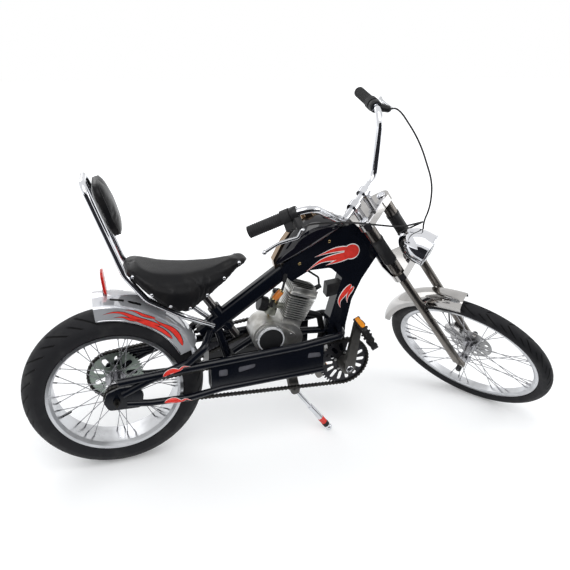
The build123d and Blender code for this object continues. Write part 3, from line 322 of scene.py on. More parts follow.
def smooth_through(knots, values, at):
    """Natural cubic curve through the values at the knots, read at each place of at."""
    knots, values, at = (np.asarray(item, float) for item in (knots, values, at))
    count = len(knots)
    wide = (-1,) + (1,) * (values.ndim - 1)
    gap = np.diff(knots)
    system = np.eye(count)
    inner = np.arange(1, count - 1)
    system[inner, inner - 1] = gap[:-1]
    system[inner, inner] = 2 * (gap[:-1] + gap[1:])
    system[inner, inner + 1] = gap[1:]
    turning = np.zeros_like(values)
    turning[1:-1] = 6 * np.diff(np.diff(values, axis=0) / gap.reshape(wide), axis=0)
    bend = np.linalg.solve(system, turning)
    span = np.clip(np.searchsorted(knots, at) - 1, 0, count - 2)
    near = ((knots[span + 1] - at) / gap[span]).reshape(wide)
    far = 1 - near
    cubic = (near ** 3 - near) * bend[span] + (far ** 3 - far) * bend[span + 1]
    return near * values[span] + far * values[span + 1] + cubic * gap[span].reshape(wide) ** 2 / 6


def ribbon(spine, half, lay, lift):
    """Thin strip on the smooth line through the spine, as wide each way as half at each share of its
    length, with bevelled edges, laid on its surface by lay(flat points, height)."""
    share = np.linspace(0, 1, len(half))
    spine = np.asarray(spine, float)
    line = smooth_through(np.linspace(0, 1, len(spine)), spine, share)
    run = np.gradient(line, axis=0)
    run /= np.linalg.norm(run, axis=1, keepdims=True)
    across = np.stack([-run[:, 1], run[:, 0]], 1)
    side = np.array([-1, -0.9, -0.45, 0, 0.45, 0.9, 1])
    height = np.array([-0.5, 1, 1, 1, 1, 1, -0.5]) * lift
    flat = line[:, None] + half[:, None, None] * side[None, :, None] * across[:, None]
    return lay(flat, np.broadcast_to(height, flat.shape[:2])), False, True


def tongue(width, edge=0.0):
    """Half width of a flame from its thin tail to its round head: width sin(pi share^2.2)^0.6."""
    swell = np.sin(math.pi * np.linspace(0, 1, 41) ** 2.2).clip(0)
    return width * swell ** 0.6 + edge * swell ** 0.25


PLATE_FACE = 25.0
RED_LIFT, EDGE_LIFT, EDGE_WIDTH = 0.55, 0.3, 2.6


def lay_plate(side):
    """Lays (forward, up) points on the neck plate's face on that side."""
    def lay(flat, height):
        return on_bike(np.stack([flat[..., 0], side * (PLATE_FACE + height), flat[..., 1]], -1))
    return lay


def lay_tube(start, end, radius, side):
    """Lays (along, round) points on the outer side of a straight tube."""
    start, end = np.array(start, float), np.array(end, float)
    run = (end - start) / np.linalg.norm(end - start)
    out = np.array([0, side, 0.0])
    rise = np.cross(run, out)

    def lay(flat, height):
        turn = (flat[..., 1] / radius)[..., None]
        reach = (radius + height)[..., None]
        return on_bike(start + flat[..., :1] * run + reach * (np.cos(turn) * out + np.sin(turn) * rise))
    return lay


NECK_HEAD, NECK_HEAD_RADIUS, HEAD_LIFT, TUBE_EDGE_WIDTH = (794, 694), 27, 0.75, 1.5
NECK_FLAMES = [
    ([(636, 637), (684, 668), (732, 678), (800, 690)], 11),
    ([(662, 686), (704, 698), (744, 706), (800, 706)], 8),
    ([(704, 652), (730, 660), (756, 668), (800, 680)], 7),
]
DOWN_FLAMES = [
    ([(768, 484), (762, 512), (778, 540), (802, 572)], 10),
    ([(792, 500), (790, 522), (798, 542), (812, 562)], 6),
]
STAY_FLAMES = [
    ([(8, 6), (30, -2), (52, 5), (84, 0)], 8),
    ([(-6, -7), (16, 3), (36, -6), (62, -5)], 4.5),
]
STAY_START, STAY_END, STAY_TUBE = (226, 386), (106, 346), 13
RAIL_START, RAIL_END, RAIL_TUBE = (229, 255), (101, 259), 11
SIDE_TUBES_Y = 84
for side, hand in ((-1, "right"), (1, "left")):
    stay = lay_tube((STAY_START[0], side * SIDE_TUBES_Y, STAY_START[1]),
                    (STAY_END[0], side * SIDE_TUBES_Y, STAY_END[1]), STAY_TUBE, side)
    rail = lay_tube((RAIL_START[0], side * SIDE_TUBES_Y, RAIL_START[1]),
                    (RAIL_END[0], side * SIDE_TUBES_Y, RAIL_END[1]), RAIL_TUBE, side)
    plate = lay_plate(side)
    for part, flames, lay, edge in (("neck", NECK_FLAMES, plate, EDGE_WIDTH),
                                    ("down_tube", DOWN_FLAMES, plate, EDGE_WIDTH),
                                    ("stay", STAY_FLAMES, stay, TUBE_EDGE_WIDTH),
                                    ("rail", STAY_FLAMES, rail, TUBE_EDGE_WIDTH)):
        edges = [ribbon(spine, tongue(width, edge), lay, EDGE_LIFT) for spine, width in flames]
        fills = [ribbon(spine, tongue(width), lay, RED_LIFT) for spine, width in flames]
        if part == "neck":
            for grow, lift, grids in ((0, HEAD_LIFT, fills), (EDGE_WIDTH, EDGE_LIFT, edges)):
                reach = NECK_HEAD_RADIUS + grow
                spine = [(NECK_HEAD[0] + reach * way, NECK_HEAD[1]) for way in (-1, 0, 1)]
                grids.append(ribbon(spine, reach * (1 - np.linspace(-1, 1, 41) ** 2) ** 0.5, lay, lift))
        piece(f"flame_edge_{part}_{hand}", edges, flame_white, "frame")
        piece(f"flame_{part}_{hand}", fills, flame_red, "frame")


def slab(half_x, half_y, half_z, corner):
    """Closed block with rounded ends, as a superellipse outline in x and y raised to half_z both ways."""
    turn = np.linspace(0, 2 * math.pi, 40, endpoint=False)
    outline = np.stack([half_x * np.sign(np.cos(turn)) * np.abs(np.cos(turn)) ** corner,
                        half_y * np.sign(np.sin(turn)) * np.abs(np.sin(turn)) ** corner], -1)
    scale = np.array([0, 0.9, 1, 1, 0.9, 0])
    height = half_z * np.array([-1, -1, -0.6, 0.6, 1, 1])
    spread = scale[:, None, None] * outline[None]
    return np.concatenate([spread, np.broadcast_to(height[:, None, None], (6, 40, 1))], -1)


pocket_grey = film("pocket_grey", (0.10, 0.10, 0.115))
POCKETS = [(341, 330, 20, 19), (422, 335, 36, 20), (658, 348, 31, 17)]
POCKET_FLOOR, POCKET_HALF_DEEP, POCKET_CORNER = 80.9, 0.7, 0.3
pocket_grids = []
for side in (-1, 1):
    for forward, height, half_length, half_height in POCKETS:
        block = slab(half_length, half_height, POCKET_HALF_DEEP, POCKET_CORNER)
        laid = np.stack([forward + block[..., 0], side * (POCKET_FLOOR + block[..., 2]),
                         height + block[..., 1]], -1)
        pocket_grids.append((on_bike(laid), False, True))
piece("beam_pockets", pocket_grids, pocket_grey, "frame", crease=30)

# Tank: a pressed steel teardrop in black lacquer on the neck's top edge, with a bronzed strip and
# filler cap along its spine, held by two brass screws each side.
lacquer, shader, place = finish("tank_lacquer", (0.003, 0.003, 0.006), 0.06,
                                Coat_Weight=0.3, Coat_Roughness=0.03)
feed(shader, Roughness=place.noise(6.0) * 0.08 + 0.03,
     Normal=bump(place, place.noise(300.0, 2.0), 0.03, 0.0003))
TANK_AT, TANK_SLOPE = np.array([558, 0, 677.0]), math.radians(29.7)
TANK_LINE = [-22, 30, 105, 165, 225, 248]
TANK_WIDTH = [44, 96, 132, 128, 84, 50]
TANK_HEIGHT = [16, 52, 86, 84, 36, 12]
tank_run = np.array([math.cos(TANK_SLOPE), 0, math.sin(TANK_SLOPE)])
tank_rise = np.array([-tank_run[2], 0, tank_run[0]])


def tank_form(rows, sides):
    """Teardrop as a grid along the tank by round its section, an oval whose lower half is flatter:
    left = half cos(turn)^0.85, up = height (0.36 + 0.64 sin(turn)) above and height 0.36 (1 + sin(turn))
    below, closed to a point at both ends."""
    along = np.linspace(TANK_LINE[0], TANK_LINE[-1], rows)[:, None]
    width = smooth_through(TANK_LINE, TANK_WIDTH, along[:, 0])[:, None]
    height = smooth_through(TANK_LINE, TANK_HEIGHT, along[:, 0])[:, None]
    turn = np.linspace(0, 2 * math.pi, sides, endpoint=False)[None]
    rise = np.sin(turn)
    left = width / 2 * np.sign(np.cos(turn)) * np.abs(np.cos(turn)) ** 0.85
    up = height * (0.36 + np.where(rise > 0, 0.64, 0.36) * rise) + 0.2
    grid = TANK_AT + along[..., None] * tank_run + up[..., None] * tank_rise + left[..., None] * ACROSS
    ends = grid[[0, -1]].mean(1, keepdims=True) * np.ones((1, sides, 1))
    return np.concatenate([ends[:1], grid, ends[1:]])


def metal(name, colour, low, high, scale, relief, **constants):
    """Metal whose polish varies between two roughnesses, with a fine grain and faint tarnish."""
    material, shader, place = finish(name, colour, low, 1.0, **constants)
    dull = tuple(part * 0.72 for part in colour)
    feed(shader, Roughness=place.noise(scale, 5.0) * (high - low) + low,
         Base_Color=place.noise(scale * 0.6, 6.0).ramp(0.25, 0.6).mix((*dull, 1), (*colour, 1)),
         Normal=bump(place, place.noise(scale * 14, 3.0), relief, 0.0003))
    return material


bronze = metal("bronze", (0.34, 0.25, 0.17), 0.06, 0.2, 16.0, 0.03)
brass = metal("brass", (0.78, 0.58, 0.26), 0.12, 0.3, 40.0, 0.05)
dress(bronze, "tank_strip")


def lathe(profile, foot, axis, sides=24):
    """Round piece: (distance along the axis, radius) millimetre points turned about it."""
    axis = np.asarray(axis, float) / np.linalg.norm(axis)
    least = np.eye(3)[np.argmin(np.abs(axis))]
    out = np.cross(axis, least)
    out /= np.linalg.norm(out)
    turn = np.linspace(0, 2 * math.pi, sides, endpoint=False)[:, None]
    ring = np.cos(turn) * out + np.sin(turn) * np.cross(axis, out)
    along, radius = np.array(profile, float).T / 1000
    return foot + along[:, None, None] * axis + radius[:, None, None] * ring, False, True


def dome(radius, height, below=1.0):
    """Profile of a low round head standing on a surface."""
    share = np.linspace(0, 1, 6) * math.pi / 2
    cap = np.stack([height * np.sin(share), radius * np.cos(share)], -1)
    return [(-below, 0), (-below, radius), *cap.tolist()]


def touch(name, start, way):
    """Where a ray through the bike meets a CAD piece, and the surface's outward direction."""
    hit, at, normal, _ = nodes[name].ray_cast(Vector(start), Vector(way))
    assert hit, name
    return np.array(at), np.array(normal)


tank_grid = (on_bike(tank_form(60, 64)), False, True)
tank_shell = piece("tank_shell", [tank_grid], lacquer, "frame")
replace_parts(tank_shell, "tank")
bpy.context.view_layer.update()
TANK_SCREWS = [(612, 668), (712, 738)]
tank_heads = []
for side in (-1, 1):
    for forward, height in TANK_SCREWS:
        at, out = touch("frame_neck", on_bike((forward, side * 300, height)), -side * bike_left)
        tank_heads.append(lathe(dome(radius=5.5, height=2.6), at, out))
piece("tank_screws", tank_heads, brass, "frame")

# Engine: a small two-stroke in sand-cast alloy. Case with a bright clutch cover, finned barrel and
# head under four nuts, carburettor behind, black pipe and silencer below, ignition box ahead.
cast_alloy, shader, place = finish("cast_alloy", (0.40, 0.40, 0.39), 0.5, 1.0)
grime = place.noise(14.0, 6.0).ramp(0.42, 0.72)
feed(shader, Roughness=place.noise(60.0, 4.0) * 0.25 + 0.36,
     Base_Color=grime.mix((0.64, 0.64, 0.63, 1), (0.30, 0.29, 0.27, 1)),
     Normal=bump(place, place.noise(900.0, 4.0), 0.35, 0.0006))
polished_alloy = metal("polished_alloy", (0.80, 0.81, 0.83), 0.16, 0.36, 30.0, 0.06, Metallic=0.45)
carb_alloy = metal("carburettor_alloy", (0.46, 0.47, 0.41), 0.34, 0.52, 50.0, 0.2)
steel = metal("steel", (0.48, 0.48, 0.48), 0.26, 0.46, 40.0, 0.1)
dress(cast_alloy, "engine_case", "clutch_cover")
dress(carb_alloy, "carburettor")


def plastic(name, colour, roughness, grain):
    """Moulded plastic or rubber: even colour, fine grain, patchy sheen."""
    material, shader, place = finish(name, colour, roughness, Specular_IOR_Level=0.25)
    pale = tuple(part * 1.6 + 0.004 for part in colour)
    feed(shader, Roughness=place.noise(40.0) * 0.2 + (roughness - 0.1),
         Base_Color=place.noise(22.0, 5.0).ramp(0.5, 0.85).mix((*colour, 1), (*pale, 1)),
         Normal=bump(place, place.noise(900.0, 2.0), grain, 0.0004))
    return material


black_plastic = plastic("black_plastic", (0.012, 0.012, 0.013), 0.4, 0.15)
black_rubber = plastic("black_rubber", (0.014, 0.014, 0.015), 0.58, 0.3)
heat_black = metal("heat_black", (0.03, 0.03, 0.032), 0.4, 0.62, 30.0, 0.2)
dress(heat_black, "exhaust")
dress(black_plastic, "ignition_box", "air_filter")
dress(black_rubber, "spark_plug")
dress(steel, "engine_cog")

COVER_AT, COVER_FACE, COVER_FLANGE, CASE_AT = (508, 418), -65.0, -59.0, (568, 402)
DISC_PROFILE = [(-0.5, 0), (-0.5, 41), (1.0, 41), (1.8, 39.6), (1.8, 0)]
RING_PROFILE = [(-6, 41.4), (2.4, 41.4), (3.2, 42.6), (2.4, 45.4), (-6, 46.4)]
SCREW_HEAD = [(-1, 0), (-1, 4), (2.2, 4), (3, 3.2), (3, 1.8), (1.2, 1.6), (1.2, 0)]
COVER_SCREWS = [(COVER_AT, 48.5, (62, 118, 176, 236, 292)), (CASE_AT, 28, (70, -62))]
cover_foot = on_bike((COVER_AT[0], COVER_FACE, COVER_AT[1]))
cover_disc = lathe(DISC_PROFILE, cover_foot, -bike_left, 64)
piece("cover_disc", [cover_disc], black_plastic, "frame")
cover_ring = lathe(RING_PROFILE, cover_foot, -bike_left, 64)
piece("cover_ring", [cover_ring], polished_alloy, "frame")
cover_heads = []
for (forward, height), radius, turns in COVER_SCREWS:
    for turn in np.radians(turns):
        spot = on_bike((forward + radius * math.cos(turn), COVER_FLANGE, height + radius * math.sin(turn)))
        cover_heads.append(lathe(SCREW_HEAD, spot, -bike_left, 12))
piece("cover_screws", cover_heads, steel, "frame")

BORE_LEAN, HEAD_FACE, NUT_AHEAD, NUT_LEFT = math.radians(20), 171.2, 40, 32.5
bore_up = np.array([math.sin(BORE_LEAN), 0, math.cos(BORE_LEAN)])
bore_ahead = np.array([math.cos(BORE_LEAN), 0, -math.sin(BORE_LEAN)])


def on_bore(ahead, left, up):
    """Point in the leaning cylinder's axes, from the crankshaft."""
    return on_bike(np.array([CASE_AT[0], left, CASE_AT[1]]) + bore_ahead * ahead + bore_up * up)


bore_axis = bore_up @ BIKE
# fin_alloy darkens from the fin edges in to the core round the bore's axis: painted shade between the fins.
fin_alloy, shader, place = finish("fin_alloy", (0.45, 0.45, 0.44), 0.45, 1.0)
from_bore = place.add("VectorMath", {0: place, 1: tuple(on_bore(0, 0, 0))}, operation="SUBTRACT")
off_bore = place.add("VectorMath", {0: from_bore, 1: tuple(bore_axis)}, operation="CROSS_PRODUCT")
distance = place.add("VectorMath", {0: off_bore}, out=1, operation="LENGTH")
feed(shader, Roughness=place.noise(60.0, 4.0) * 0.25 + 0.34,
     Base_Color=distance.ramp(0.036, 0.047).mix((0.05, 0.05, 0.048, 1), (0.76, 0.76, 0.74, 1)),
     Normal=bump(place, place.noise(900.0, 4.0), 0.3, 0.0005))
dress(fin_alloy, "engine_barrel", "engine_head")
HEAD_NUT = [(-1, 0), (-1, 5.6), (8, 5.6), (9.5, 4.6), (9.5, 3), (16, 3), (16.6, 2.4), (16.6, 0)]
head_nuts = [lathe(HEAD_NUT, on_bore(end * NUT_AHEAD, side * NUT_LEFT, HEAD_FACE), bore_axis, 6)
             for end in (-1, 1) for side in (-1, 1)]
piece("head_nuts", head_nuts, steel, "frame", crease=25)
CARB_TOP, CARB_FOOT, CARB_SCREW = (-76, 0, 140), (-76, 0, 62), (-76, -16, 112)
CAP_PROFILE = [(-1, 0), (-1, 17.5), (7, 17.5), (9, 15), (9, 6), (15, 4), (15, 0)]
DRAIN_PROFILE = [(-2, 0), (-2, 7), (6, 7), (6, 4.5), (10, 4.5), (10, 0)]
IDLE_PROFILE = [(-2, 0), (-2, 4), (9, 4), (9, 5), (12, 5), (12, 0)]
carb_cap = lathe(CAP_PROFILE, on_bore(*CARB_TOP), bore_axis)
piece("carburettor_cap", [carb_cap], black_plastic, "frame")
carb_drain = lathe(DRAIN_PROFILE, on_bore(*CARB_FOOT), -bore_axis, 6)
idle_screw = lathe(IDLE_PROFILE, on_bore(*CARB_SCREW), -bike_left, 12)
piece("carburettor_brass", [carb_drain, idle_screw], brass, "frame")
FILTER_RIBS, RIB_FOOT, RIB_RADIUS, RIB_WAVE, RIB_RUN = 9, (-98.4, 0, 90), 24.4, 0.9, 25
rib_share = np.linspace(0, 1, FILTER_RIBS * 4 + 1)
rib_radius = RIB_RADIUS + RIB_WAVE * np.cos(2 * math.pi * FILTER_RIBS * rib_share)
rib_profile = [(0, 20), *np.stack([1 + RIB_RUN * rib_share, rib_radius], -1).tolist(), (RIB_RUN + 2, 20)]
filter_ribs = lathe(rib_profile, on_bore(*RIB_FOOT), -bore_ahead @ BIKE, 40)
piece("air_filter_ribs", [filter_ribs], black_plastic, "frame")

# Fuel line: black hose from the tap under the tank to the carburettor, through a clear amber filter
# with pressed brass ends.
dress(black_rubber, "fuel_line")
FILTER_TOP, FILTER_LOW = np.array([552, -30, 580.0]), np.array([524, -30, 550.0])
amber, shader, place = finish("filter_amber", (0.75, 0.22, 0.03), 0.12, Transmission_Weight=0.35, IOR=1.45)
feed(shader, Roughness=place.noise(60.0) * 0.15 + 0.08,
     Base_Color=place.noise(80.0).mix((0.85, 0.30, 0.05, 1), (0.55, 0.13, 0.02, 1)))
filter_length = np.linalg.norm(FILTER_LOW - FILTER_TOP)
filter_run = (FILTER_LOW - FILTER_TOP) / filter_length @ BIKE
FILTER_NOSE, END_RADIUS, END_LENGTH, END_OVER = [(4, 0), (4, 9.6), (6, 11)], 9.8, 4.4, 0.6
filter_tail = [(filter_length - along, radius) for along, radius in FILTER_NOSE[::-1]]
filter_body = lathe(FILTER_NOSE + filter_tail, on_bike(FILTER_TOP), filter_run)
piece("filter_body", [filter_body], amber, "frame")
filter_ends = []
for start in (-END_OVER, filter_length - END_LENGTH + END_OVER):
    stop = start + END_LENGTH
    end_profile = [(start, 0), (start, END_RADIUS), (stop, END_RADIUS), (stop, 0)]
    filter_ends.append(lathe(end_profile, on_bike(FILTER_TOP), filter_run))
piece("filter_ends", filter_ends, brass, "frame")

# Rear wheel: a wide smooth-crowned tyre with swept grooves on a satin alloy rim, laced with thirty-six
# bright spokes, a zinc-plated engine sprocket on its left and the pedal cog on its right.
tyre_rubber, shader, place = finish("tyre_rubber", (0.012, 0.012, 0.013), 0.62, Specular_IOR_Level=0.2)
dust = place.noise(18.0, 6.0).ramp(0.5, 0.8)
# Points in the grooves are painted near black, darker than the rubber itself: painted shade in the tread's
# recesses.
groove = place.add("Attribute", {}, out=2, attribute_name="shade")
tread = dust.mix((0.012, 0.012, 0.014, 1), (0.026, 0.026, 0.026, 1))
feed(shader, Roughness=place.noise(50.0) * 0.25 + 0.5,
     Base_Color=groove.mix(tread, (0.001, 0.001, 0.001, 1)),
     Normal=bump(place, place.noise(1100.0, 2.0), 0.3, 0.0005))
zinc = metal("zinc_plate", (0.36, 0.42, 0.37), 0.28, 0.5, 35.0, 0.08)
satin_rim = metal("satin_rim", (0.60, 0.61, 0.63), 0.2, 0.4, 26.0, 0.06)
bright_wire = metal("bright_wire", (0.40, 0.40, 0.42), 0.14, 0.3, 60.0, 0.05)
dress(satin_rim, "rear_rim")
dress(bright_wire, "rear_hub")
dress(steel, "rear_cog")
dress(zinc, "rear_sprocket")
REAR_WHEEL = np.stack([bike_forward, bike_left, bike_up])


def tyre(radius, round_crown, lip, bead, pitches, sweep, depth, reach):
    """Tyre as a grid of turn by section. The section is a crown arc, sidewall arcs tangent to it and the
    bead's flat. Rows lean with the grooves, turn = row - sweep (angle / shoulder)^1.4, and each pitch of
    rows sinks by depth between two walls, over the angles of reach, long and short in turn."""
    shoulder = math.radians(62)
    angle = np.linspace(-shoulder, shoulder, 53)
    section = np.stack([radius - round_crown + round_crown * np.cos(angle), round_crown * np.sin(angle)], -1)
    edge, end = section[-1], np.array([lip, bead])
    inward = -np.array([math.cos(shoulder), math.sin(shoulder)])
    bend = np.dot(end - edge, end - edge) / (2 * np.dot(inward, end - edge))
    centre = edge + inward * bend
    last = math.atan2(*(end - centre)[::-1])
    fall = np.linspace(shoulder, last, 15)[1:]
    beading = 0.7 * (np.exp(-((np.arange(14) - 3) / 0.9) ** 2) + np.exp(-((np.arange(14) - 11) / 0.9) ** 2))
    wall = centre + (bend + beading)[:, None] * np.stack([np.cos(fall), np.sin(fall)], -1)
    section = np.concatenate([wall[::-1] * (1, -1), section, wall])
    beyond = np.full_like(fall, shoulder)
    place_angle = np.abs(np.concatenate([beyond, angle, beyond]))
    in_pitch = np.array([0, 0.1, 0.2, 0.3, 0.39, 0.435, 0.5, 0.565, 0.61, 0.7, 0.8, 0.9])
    sunk = np.array([0, 0, 0, 0, 0, 1, 1, 1, 0, 0, 0, 0.0])
    row = (np.arange(pitches)[:, None] + in_pitch).ravel()
    groove = np.tile(sunk, pitches)
    start, stop = np.radians(reach)
    short = np.repeat(np.arange(pitches) % 2, len(in_pitch))[:, None]
    begin = start + short * (stop - start) * 0.4
    fade = math.radians(4)
    past_start = np.clip((place_angle[None] - begin) / fade, 0, 1)
    before_stop = np.clip((stop - place_angle[None]) / fade, 0, 1)
    window = past_start * before_stop
    turn = (row[:, None] - sweep * (place_angle / shoulder)[None] ** 1.4) * 2 * math.pi / pitches
    away = section[None, :, 0] - depth * groove[:, None] * window
    across = np.broadcast_to(section[None, :, 1], turn.shape)
    # The second value marks the grooves, which the tyre material paints as shade.
    return np.stack([away * np.cos(turn), across, away * np.sin(turn)], -1), groove[:, None] * window


def on_wheel(points, hub, axes):
    """Wheel's (ahead, left, up) millimetres from its hub, carried to where it stands."""
    return hub + np.asarray(points, float) / 1000 @ axes


rear_tread, rear_groove_shade = tyre(radius=AXLE_HEIGHT, round_crown=REAR_CROWN, lip=213.2, bead=46.8, pitches=34,
                               sweep=1.6, depth=3.5, reach=(8, 57))
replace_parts(piece("rear_tread", [(on_wheel(rear_tread, rear_hub, REAR_WHEEL), True, True)], tyre_rubber,
                  "rear_wheel", crease=30, shade=rear_groove_shade), "rear_tyre")


def rods(starts, ends, radius, sides=6):
    """Short round pegs between pairs of points, each a closed prism."""
    grids = []
    for start, end in zip(starts, ends):
        length = np.linalg.norm(end - start) * 1000
        grids.append(lathe([(0, 0), (0, radius), (length, radius), (length, 0)], start, end - start, sides))
    return grids


SPOKES, SPOKE_CROSS, SPOKE_STAGGER, SPOKE_BED = 36, 54, 1.6, 4


def nipples(flange_y, flange_radius, floor, rim_y, length):
    """Both ends of the nipple on each spoke, in wheel axes. Spokes leave each flange evenly, lean forward
    and back in turn, and meet the rim a fixed angle further round."""
    each = SPOKES // 2
    index = np.arange(SPOKES) % each
    hand = np.where(np.arange(SPOKES) < each, 1, -1)
    way = np.where(index % 2, 1, -1)
    at_hub = np.radians(360 / each * index + np.where(hand < 0, 180 / each, 0))
    at_rim = at_hub + np.radians(SPOKE_CROSS * way)
    near = flange_radius - SPOKE_BED
    out = hand * (flange_y + SPOKE_STAGGER * way)
    foot = np.stack([near * np.cos(at_hub), out, near * np.sin(at_hub)], -1)
    head = np.stack([floor * np.cos(at_rim), hand * rim_y, floor * np.sin(at_rim)], -1)
    run = (head - foot) / np.linalg.norm(head - foot, axis=1, keepdims=True)
    return head - run * length, head + run


VALVE_TURN = math.radians(207)
VALVE = [(0, 0), (0, 4), (10, 3.4), (12, 4.2), (30, 4.2), (32, 3.4), (32, 0)]


def fit_rim(end, hub, axes, pegs, peg_radius, valve_reach):
    """A wheel's nipples, between the two ends of each in pegs, and its valve at that reach from the hub."""
    low, high = pegs
    nuts = rods(on_wheel(low, hub, axes), on_wheel(high, hub, axes), peg_radius)
    piece(f"{end}_nipples", nuts, bright_wire, f"{end}_wheel", crease=25)
    way = np.array([math.cos(VALVE_TURN), 0, math.sin(VALVE_TURN)])
    valve = lathe(VALVE, on_wheel(way * valve_reach, hub, axes), -way @ axes, 12)
    piece(f"{end}_valve", [valve], black_rubber, f"{end}_wheel")


rear_pegs = nipples(flange_y=36, flange_radius=34, floor=196, rim_y=14, length=15)
fit_rim("rear", rear_hub, REAR_WHEEL, rear_pegs, peg_radius=2.6, valve_reach=197)

# Drive train: black toothed chainring with a ring of windows, forged grey crank arms with bright bolts,
# open toothed pedals with amber reflectors at both ends, and two oiled roller chains.
chain_steel = metal("chain_steel", (0.055, 0.053, 0.05), 0.3, 0.55, 60.0, 0.15)
crank_grey = metal("crank_grey", (0.19, 0.185, 0.175), 0.3, 0.5, 40.0, 0.1)
ring_black = metal("ring_black", (0.05, 0.05, 0.055), 0.3, 0.5, 30.0, 0.08)
dress(chain_steel, "chain_pedal", "chain_engine")
dress(crank_grey, "crank_arms")
dress(ring_black, "chainring")
dress(black_plastic, "pedal_right", "pedal_left")
CHAIN_PITCH = 12.7


def links(first, first_radius, last, last_radius):
    """Pin places of a chain, one pitch apart round two cogs: the arcs and the two straight runs between."""
    gap = np.array(last, float) - first
    line = math.atan2(gap[1], gap[0])
    lift = math.acos((first_radius - last_radius) / np.linalg.norm(gap))
    near = np.linspace(line + lift, line - lift + 2 * math.pi, 200)
    far = np.linspace(line - lift, line + lift, 200)
    loop = np.concatenate([first + first_radius * np.stack([np.cos(near), np.sin(near)], -1),
                           last + last_radius * np.stack([np.cos(far), np.sin(far)], -1)])
    loop = np.concatenate([loop, loop[:1]])
    walked = np.concatenate([[0], np.cumsum(np.linalg.norm(np.diff(loop, axis=0), axis=1))])
    at = np.linspace(0, walked[-1], int(walked[-1] / CHAIN_PITCH), endpoint=False)
    return np.stack([np.interp(at, walked, loop[:, 0]), np.interp(at, walked, loop[:, 1])], -1)


CHAIN_Y, CHAIN_HALF, LINK_RADIUS, BRACKET_AT = 66, 6.2, 5.2, (776, 294)
HUB_COG, LARGE_RING, ENGINE_COG = 36.57, 89.01, 20.55
hub_at = (0, AXLE_HEIGHT)
for name, spots, middle in (("pedal", links(hub_at, HUB_COG, BRACKET_AT, LARGE_RING), -CHAIN_Y),
                            ("engine", links(hub_at, LARGE_RING, COVER_AT, ENGINE_COG), CHAIN_Y)):
    near, far = (on_bike(np.insert(spots, 1, middle + way * CHAIN_HALF, axis=1)) for way in (-1, 1))
    rollers = rods(near, far, LINK_RADIUS, 8)
    piece(f"chain_{name}_links", rollers, chain_steel, "frame", crease=25)
CHROME_COLOUR = (0.70, 0.71, 0.74)
chrome = metal("chrome", CHROME_COLOUR, 0.02, 0.10, 18.0, 0.015)
CRANK_FACE = 120
BOLT_CAP = [(-1, 0), (-1, 13), (2, 13), (4, 11), (4, 8), (2.5, 7), (2.5, 0)]
crank_caps = []
for side in (-1, 1):
    cap_foot = on_bike((BRACKET_AT[0], side * CRANK_FACE, BRACKET_AT[1]))
    crank_caps.append(lathe(BOLT_CAP, cap_foot, side * bike_left))
piece("crank_bolts", crank_caps, chrome, "crank")
RING_BOLT_RADIUS, RING_FACE = 34, -67.2
RING_BOLT = [(-0.6, 0), (-0.6, 5), (2, 5), (2.8, 4), (2.8, 0)]
ring_turn = np.radians(np.arange(5) * 72 + 18)
ring_spots = np.stack([BRACKET_AT[0] + RING_BOLT_RADIUS * np.cos(ring_turn), ring_turn * 0 + RING_FACE,
                       BRACKET_AT[1] + RING_BOLT_RADIUS * np.sin(ring_turn)], -1)
ring_bolts = [lathe(RING_BOLT, spot, -bike_left, 12) for spot in on_bike(ring_spots)]
piece("ring_bolts", ring_bolts, steel, "crank")
amber_lens, shader, place = finish("amber_lens", (0.85, 0.30, 0.02), 0.15)
feed(shader, Roughness=place.noise(60.0) * 0.12 + 0.08,
     Normal=bump(place, place.noise(500.0, 1.0), 0.3, 0.0008))
CRANK_REACH, CRANK_TILT, PEDAL_OUT = 172, math.radians(7), 174
CAGE_HALF, CAGE_WALL, CAGE_HIGH, CAGE_LOW, CAGE_TEETH = np.array([48.0, 46.0]), 4.5, 11.0, 6.0, 22
CAGE_CORNER, BARREL_OUT, BARREL_BORE = 0.3, 10.5, 7.0
RIB_AT, RIB_HALF, RIB_CORNER = 26, 2.2, 0.2
LENS_OUT, LENS_HALF, LENS_CORNER = 49.4, (30, 7.5, 1.6), 0.45


def cage():
    """Pedal's toothed ring in its own (length, left, height): a superellipse wall carried round, its edges
    rising and falling between two heights, with the four corners of the wall at each turn."""
    turn = np.linspace(0, 2 * math.pi, CAGE_TEETH * 8, endpoint=False)
    way = np.stack([np.cos(turn), np.sin(turn)], -1)
    outline = np.sign(way) * np.abs(way) ** CAGE_CORNER
    walked = np.cumsum(np.linalg.norm(np.diff(outline, axis=0, append=outline[:1]), axis=1))
    wave = np.clip(0.5 + 2 * np.sin(2 * math.pi * CAGE_TEETH * walked / walked[-1]), 0, 1)
    edge = CAGE_LOW + (CAGE_HIGH - CAGE_LOW) * wave
    outer, inner = outline * CAGE_HALF, outline * (CAGE_HALF - CAGE_WALL)
    corners = [(outer, -edge), (outer, edge), (inner, edge), (inner, -edge)]
    return np.stack([np.concatenate([flat, height[:, None]], -1) for flat, height in corners], 1)


